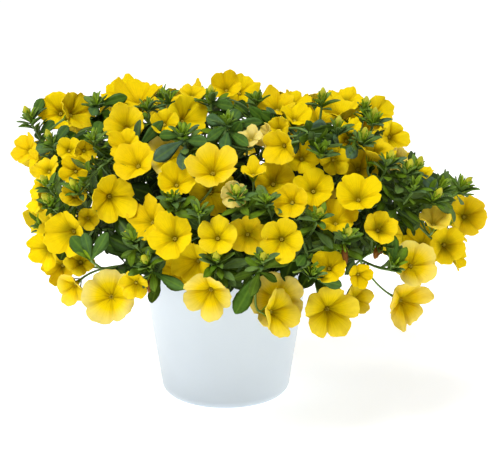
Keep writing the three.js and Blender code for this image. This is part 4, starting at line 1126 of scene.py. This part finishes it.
# Flowers that are old and pale at their margins, faded to cream, or cupped, by where they are seen.
PALE_AT = {
    (-85, 71): 1.0, (37, 68): 0.9, (-14, 70): 0.7, (137, 96): 0.7, (134, 64): 0.55, (-41, 176): 0.8,
    (-9, 169): 0.2, (77, 58): 0.2, (41, 59): 0.35, (-113, 76): 0.3, (97, 69): 0.3,
}
CREAM_AT = {
    (17, 190): 0.7, (28, 190): 0.45, (6, 147): 0.6, (71, 148): 0.15, (124, 172): 0.4, (150, 130): 0.2,
}
CUPPED_AT = {(46, 142): 1.0, (99, 198): 1.0, (-80, 144): 0.7, (83, 211): 0.4, (-35, 158): 0.5}



def worked(tree, x, y, operation, *values):
    """The result of a sum on one or two values."""
    made = node(tree, "ShaderNodeMath", x, y, operation=operation)
    for socket, value in zip(made.inputs, values):
        fill(tree, socket, value)
    return made.outputs[0]


petal_finish, tree, shader = new_finish(
    "soft_petal", Roughness=0.75, Specular_IOR_Level=0.06, Subsurface_Weight=0.2,
    Subsurface_Scale=0.002, Subsurface_Radius=(1.0, 0.7, 0.05),
)
radial = attribute(tree, "radial", -1300, 0)["Fac"]
lobe = attribute(tree, "lobe", -1300, -200)["Fac"]
# The vein along each lobe keeps its width, so it is drawn by the distance from the lobe's middle.
from_middle = worked(tree, -1100, -200, "MULTIPLY", radial, lobe)
middle_vein = ranged(tree, -900, -200, from_middle, (0.003, 0.016), (1.0, 0.0))
middle_fade = ranged(tree, -900, 0, radial, (0.2, 1.0), (1.0, 0.55))
middle_mark = worked(tree, -700, -100, "MULTIPLY", middle_vein, middle_fade)
# Fine side veins fan out beside it, and fade before the rim.
wave = worked(tree, -900, -420, "COSINE", worked(tree, -1100, -420, "MULTIPLY", lobe, 16 * math.pi))
side_vein = ranged(tree, -700, -420, wave, (0.5, 1.0), (0.0, 1.0))
side_fade = ranged(tree, -700, -620, radial, (0.12, 0.85), (0.4, 0.03))
side_mark = worked(tree, -500, -420, "MULTIPLY", side_vein, side_fade)
veins = worked(tree, -500, -100, "MAXIMUM", middle_mark, side_mark)
# Between two lobes lies a soft fold, and painted shade darkens it, most near the throat.
fold_shade_across = ranged(tree, -900, -1100, lobe, (0.3, 0.5), (0.0, 1.0), "SMOOTHSTEP")
fold_shade_outward = ranged(tree, -900, -1300, radial, (0.15, 0.95), (0.8, 0.16))
fold_shade = worked(tree, -700, -1200, "MULTIPLY", fold_shade_across, fold_shade_outward)
skin = node(
    tree, "ShaderNodeGroup", -900, -800, node_tree=mottling, Least=0.9, Most=1.08, Scale=380.0,
    Detail=3.0, Base=attribute(tree, "petal_colour", -1300, -800)["Color"],
)
# Painted shade: the petal's colour is mixed towards a dark gold along the folds between lobes.
fold_shaded = mixed(tree, -500, 300, fold_shade, skin.outputs["Color"], (0.50, 0.35, 0.0, 1))
veined = mixed(tree, -280, 200, veins, fold_shaded, (0.34, 0.25, 0.0, 1))
relief = worked(tree, -280, -300, "SUBTRACT", skin.outputs["Amount"], veins)
fill(tree, shader.inputs["Base Color"], veined)
fill(tree, shader.inputs["Normal"], bumped(tree, -100, -300, relief, 0.35, 0.0003))

anther_finish, tree, shader = new_finish("dusty_anther", Roughness=0.9)
dust = node(
    tree, "ShaderNodeGroup", -700, 0, node_tree=blotches, Scale=2500.0, Detail=2.0,
    Dark=(0.40, 0.31, 0.01, 1), Light=(0.68, 0.54, 0.03, 1),
)
fill(tree, shader.inputs["Base Color"], dust.outputs["Color"])

theta = np.arange(ROUND) / ROUND * 2 * math.pi
lobe_number = np.arange(ROUND) * LOBES // ROUND
lobe_place = np.mod(np.arange(ROUND) * LOBES / ROUND, 1) - 0.5


class Looks:
    """How one open flower differs from the next."""

    def __init__(self, draw, cupped, pale):
        self.notch = 0.12 + 0.1 * next(draw)
        self.depth = 0.15 * (1 - 0.75 * pale) * (0.6 + 0.4 * next(draw))
        self.tip = 0.1 * (next(draw) - 0.45)
        self.reach = np.array([0.12 * (next(draw) - 0.5) for _ in range(LOBES)])[lobe_number]
        self.bend = np.array([0.36 * (next(draw) - 0.5) for _ in range(LOBES)])[lobe_number]
        self.fold = 0.03 + 0.15 * next(draw)
        self.skew = 0.12 * next(draw)
        self.crease = 0.13 + 0.1 * next(draw)
        self.cup = 0.2 * cupped + 0.14 * (next(draw) - 0.5)
        self.phases = [2 * math.pi * next(draw) for _ in range(4)]
        self.ruffle = 0.03 + 0.035 * next(draw)


def front_sheet(flower, looks):
    """Points of a flower's front sheet, ring by ring from the rim into the tube, in its own axes."""
    q = FRONT_RINGS[:, None]
    edge = np.abs(2 * lobe_place)
    outline = 1 - looks.notch * (0.45 * edge**2 + 0.55 * edge**10)
    outline = outline + looks.tip * np.exp(-((lobe_place / 0.09) ** 2)) + looks.reach * (1 - edge**2)
    teeth = 0.012 * np.sin(13 * theta + looks.phases[0]) + 0.01 * np.sin(22 * theta + looks.phases[1])
    radius = q * flower.radius * (1 + (outline + teeth - 1) * q**2)
    deep = 0.45 - looks.depth * np.clip((THROAT - q) / 0.06, 0, 1)
    rise = np.where(q < THROAT, deep, 0.45 + 0.55 * (np.clip(q - THROAT, 0, 1) / (1 - THROAT)) ** 0.62)
    crease = np.exp(-(((0.5 - np.abs(lobe_place)) / 0.09) ** 2)) * looks.crease * 2 * q * (1.25 - q)
    vein = np.exp(-((lobe_place / 0.045) ** 2)) * 0.022 * q
    puff = 0.06 * np.cos(2 * math.pi * lobe_place) * q**2
    one, two, three, four = looks.phases
    waves = np.sin(5 * theta + one) + np.sin(8 * theta + two) + 0.7 * np.sin(15 * theta + three)
    ruffle = looks.ruffle * waves * q**4
    curl = looks.bend * (1 - edge**2) * q**4 + looks.cup * q**3
    fold = (looks.fold * np.cos(2 * (theta - one)) + looks.skew * np.cos(3 * (theta - four))) * q**2
    height = rise * flower.length + flower.radius * (puff - crease - vein + ruffle + curl + fold)
    height = np.broadcast_to(height, radius.shape)
    return np.stack([radius * np.cos(theta), radius * np.sin(theta), height], -1)


def sheet_normals(sheet):
    """Which way the sheet faces at each of its points, all towards the front."""
    out = np.gradient(sheet, axis=0)
    around = np.roll(sheet, -1, 1) - np.roll(sheet, 1, 1)
    normals = unit(np.cross(around, out))
    return normals * np.sign(normals[0, :, 2].mean())


def flat_ring(radius, height):
    """A flat circle of the flower's sheet, in the flower's own axes."""
    return np.stack([radius * np.cos(theta), radius * np.sin(theta), np.full(ROUND, height)], -1)


def grow_petals(shape, flower, side, draw):
    """Add a flower's sheet: a tube, its back up to the rim, and its front down into the throat."""
    pale = PALE_AT.get(flower.seen_at, 0.08 * next(draw))
    looks = Looks(draw, CUPPED_AT.get(flower.seen_at, 0.0), pale)
    front = front_sheet(flower, looks)
    back = (front - sheet_normals(front) * SHEET)[::-1][3:]
    foot = [flat_ring(radius, share * flower.length) for share, radius in TUBE_RINGS]
    rings = foot + list(back) + list(front)
    points, faces = closed(rings, np.array((0, 0, -0.1)), np.array((0, 0, 0.2 * flower.length)))
    axes = np.stack([side, np.cross(flower.axis, side), flower.axis])
    ring_shares = np.concatenate([np.zeros(len(TUBE_RINGS)), BACK_RINGS, FRONT_RINGS])
    shares = np.concatenate([np.repeat(ring_shares, ROUND), (0, 0)])
    places = np.concatenate([np.tile(np.abs(lobe_place), len(rings)), (0, 0)])
    under = np.ones(len(points))
    under[(len(rings) - len(FRONT_RINGS)) * ROUND : -2] = 0
    fresh = mix(FRESH, GOLDEN, 0.6 * next(draw) ** 2)
    # The olive of the throat is partly the flower's own colour and partly painted shade of the funnel's
    # inside, reaching out across the front sheet.
    throat = (0.6 + 0.4 * next(draw)) * (1 - 0.6 * pale)
    throat_edge = 0.36 + 0.24 * next(draw)
    margin = pale * np.clip((shares - 0.5) / 0.4, 0, 1)
    depth = throat * np.clip((throat_edge - shares) / 0.3, 0, 1) * (1 - under)
    rows = mix(mix(fresh, CREAM, CREAM_AT.get(flower.seen_at, 0.0)), PALE, margin[:, None])
    rows = mix(mix(rows, OLIVE, depth[:, None]), UNDERSIDE, (0.5 * under)[:, None])
    shape.add(flower.base + points @ axes, faces, 0, petal_colour=rows, radial=shares, lobe=places)


def grow_anther(shape, flower, around):
    """Add one of the short anthers that stand in a ring in the throat."""
    middle = flower.base + flower.axis * (0.42 * flower.length) + around * 0.055 * flower.radius
    line = middle + np.outer(ANTHER_STATIONS, flower.axis)
    shape.add(*tube(line, ANTHER_RADII, ANTHER_SIDES), 1)


def grow_sepal(shape, flower, around, draw):
    """Add one of the narrow green sepals that clasp the tube."""
    heading = unit(flower.axis + around * (0.42 + 0.25 * next(draw)))
    length = min(SEPAL_LONGEST, 0.6 * flower.length)
    arch = 0.1 * (next(draw) - 0.7)
    sepal = Blade(flower.base + around * 0.7, heading, -around, length, SEPAL_WIDTH, arch, 0.3)
    sepal.add_to(shape, mix(MIDDLE, YOUNG, 0.45), SEPAL_OUTLINE, SEPAL_THICK)


petals = [Shape() for _ in ends]
draw = seeded(FLOWER_SEED)
for number, flower in enumerate(flowers):
    side = turned_about(any_square_to(flower.axis), flower.axis, number * GOLDEN_ANGLE)
    grow_petals(petals[flower.owner], flower, side, draw)
    for i in range(LOBES):
        around = turned_about(side, flower.axis, (i + 0.5) * 2 * math.pi / LOBES)
        grow_anther(petals[flower.owner], flower, around)
        grow_sepal(greens[flower.owner], flower, around, draw)

# ==== Buds and withered flowers ====
# Small closed buds, yellow-green and twisted shut, crown some of the rosettes. A few spent flowers
# have dried to crumpled brown funnels low in the plant.
BUD_LENGTH = 9.0
BUD_RADIUS = 2.5
BUD_SIDES = 15
CROWN_REACH = 15
WITHERED_LENGTH = 13
WITHERED_RADIUS = 2.2
BUD_GREEN = np.array((0.34, 0.40, 0.03))
BROWN = np.array((0.20, 0.075, 0.012))
# x and z of the buds and of the withered flowers, as they are seen.
BUDS = [
    (-142, 208), (-121, 185), (-14, 226), (60, 222), (77, 187), (100, 215), (104, 201), (98, 187),
    (116, 155), (133, 178), (130, 160), (168, 153), (179, 160), (146, 141), (163, 145), (-124, 158),
    (-127, 137), (-97, 150), (-52, 96), (-2, 133), (12, 136), (4, 88), (21, 95), (67, 129), (87, 114),
]
WITHERED = [(-58, 68), (86, 104), (107, 103)]


def grow_bud(shape, foot, axis, low, high, length=BUD_LENGTH, radius=BUD_RADIUS, ribs=0.1):
    """Add a twisted bud with its sepals, from its low colour at the foot to its high one."""
    along = np.linspace(0, 1, 9)
    swell = np.interp(along, (0, 0.2, 0.55, 0.8, 1), (0.4, 0.75, 1, 0.72, 0.2)) * radius
    ribbing = 1 + ribs * np.cos(np.arange(BUD_SIDES) * 2 * math.pi / 3)
    side = any_square_to(axis)
    rings = []
    for share, half in zip(along, swell):
        middle = foot + axis * (share * length)
        ring = ring_points(middle, axis, turned_about(side, axis, 1.4 * share), half, BUD_SIDES)
        rings.append(mix(middle, ring, ribbing[:, None]))
    points, faces = closed(rings, foot, foot + axis * (length * 1.03))
    shares = np.concatenate([np.repeat(along, BUD_SIDES), (0, 1)])
    shape.add(points, faces, 1, leaf_colour=mix(low, high, shares[:, None]), across=1.0)
    for i in range(LOBES):
        around = turned_about(side, axis, i * 2 * math.pi / LOBES)
        sepal = Blade(foot + around * 0.8, unit(axis + around * 0.5), -around, 6.5, 1.7, -0.1, 0.3)
        sepal.add_to(shape, mix(MIDDLE, YOUNG, 0.6), SEPAL_OUTLINE, SEPAL_THICK)


crowned = set()
for x, z in BUDS:
    reach = [math.hypot(end.seen_at[0] - x, end.seen_at[1] - z) for end in ends[:front_ends]]
    k = int(np.argmin(reach))
    tip = sight_point(x, z, ends[k].share - SHARE_STEP)
    if np.linalg.norm(tip - ends[k].point) < CROWN_REACH and k not in crowned:
        crowned.add(k)
        foot = ends[k].point + ends[k].axis * (ROSETTE_HUB + 1)
        grow_bud(greens[k], foot, ends[k].axis, BUD_GREEN, mix(BUD_GREEN, FRESH, 0.3))
for x, z in WITHERED:
    target = sight_point(x, z, sight_share(x, z))
    nearest = int(np.argmin(np.linalg.norm(stem_points - target, axis=1)))
    way = unit(target - stem_points[nearest] - UP * 4)
    shape = greens[stem_owners[nearest]]
    sizes = (WITHERED_LENGTH, WITHERED_RADIUS, 0.35)
    grow_bud(shape, stem_points[nearest], way, BROWN * 0.5, BROWN * 1.4, *sizes)

for k in range(len(ends)):
    name = f"spray_{k + 1:02d}"
    made = [greens[k].piece(name + "_leaves", [stem_finish, leaf_finish])]
    if petals[k].count:
        made.append(petals[k].piece(name + "_flowers", [petal_finish, anther_finish]))
    for piece in made:
        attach(piece, "root")
        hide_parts(name)

# ==== Floor, light and camera ====
# A plain near-white floor, one large soft light from above on the left of the front, a weak one on
# either side, and a camera that looks a little down on the plant.
FLOOR_HALF = 6
floor_finish, tree, shader = new_finish(
    "plain_floor", Roughness=0.9, Specular_IOR_Level=0.1, Emission_Strength=0.56,
    Base_Color=(0.94, 0.94, 0.94, 1), Emission_Color=(1, 1, 1, 1),
)
floor_corners = [(x * FLOOR_HALF, y * FLOOR_HALF, 0) for x, y in ((-1, -1), (1, -1), (1, 1), (-1, 1))]
mesh = bpy.data.meshes.new("floor")
mesh.from_pydata(floor_corners, [], [(0, 1, 2, 3)])
mesh.materials.append(floor_finish)
floor = bpy.data.objects.new("floor", mesh)
bpy.context.scene.collection.objects.link(floor)

world = bpy.data.worlds.new("studio")
world.use_nodes = True
sky = world.node_tree.nodes["Background"]
sky.inputs["Color"].default_value = (1, 1, 1, 1)
sky.inputs["Strength"].default_value = 0.3
bpy.context.scene.world = world
bpy.context.scene.view_settings.view_transform = "Standard"


def soft_light(name, place, aim, size, power):
    """A round soft light at a place, turned to what it lights."""
    lamp = bpy.data.lights.new(name, "AREA")
    lamp.shape = "DISK"
    lamp.size = size
    lamp.energy = power
    made = bpy.data.objects.new(name, lamp)
    bpy.context.scene.collection.objects.link(made)
    way = np.array(aim) - np.array(place)
    made.location = place
    made.rotation_euler = (math.atan2(math.hypot(way[0], way[1]), -way[2]), 0, math.atan2(-way[0], way[1]))


soft_light("key", (-0.6, -1.1, 2.4), (0, 0, 0.12), 1.2, 56)
soft_light("left_side", (-2.0, 0.2, 0.7), (0, 0, 0.1), 1.0, 8)
soft_light("right_side", (2.0, 0.2, 0.7), (0, 0, 0.1), 1.0, 12)

lens = bpy.data.cameras.new("camera")
lens.sensor_width = 36
lens.lens = 124.1
camera = bpy.data.objects.new("camera", lens)
camera.location = FRONT_EYE * MM
camera.rotation_euler = (math.radians(74.4), 0, 0)
bpy.context.scene.collection.objects.link(camera)
bpy.context.scene.camera = camera
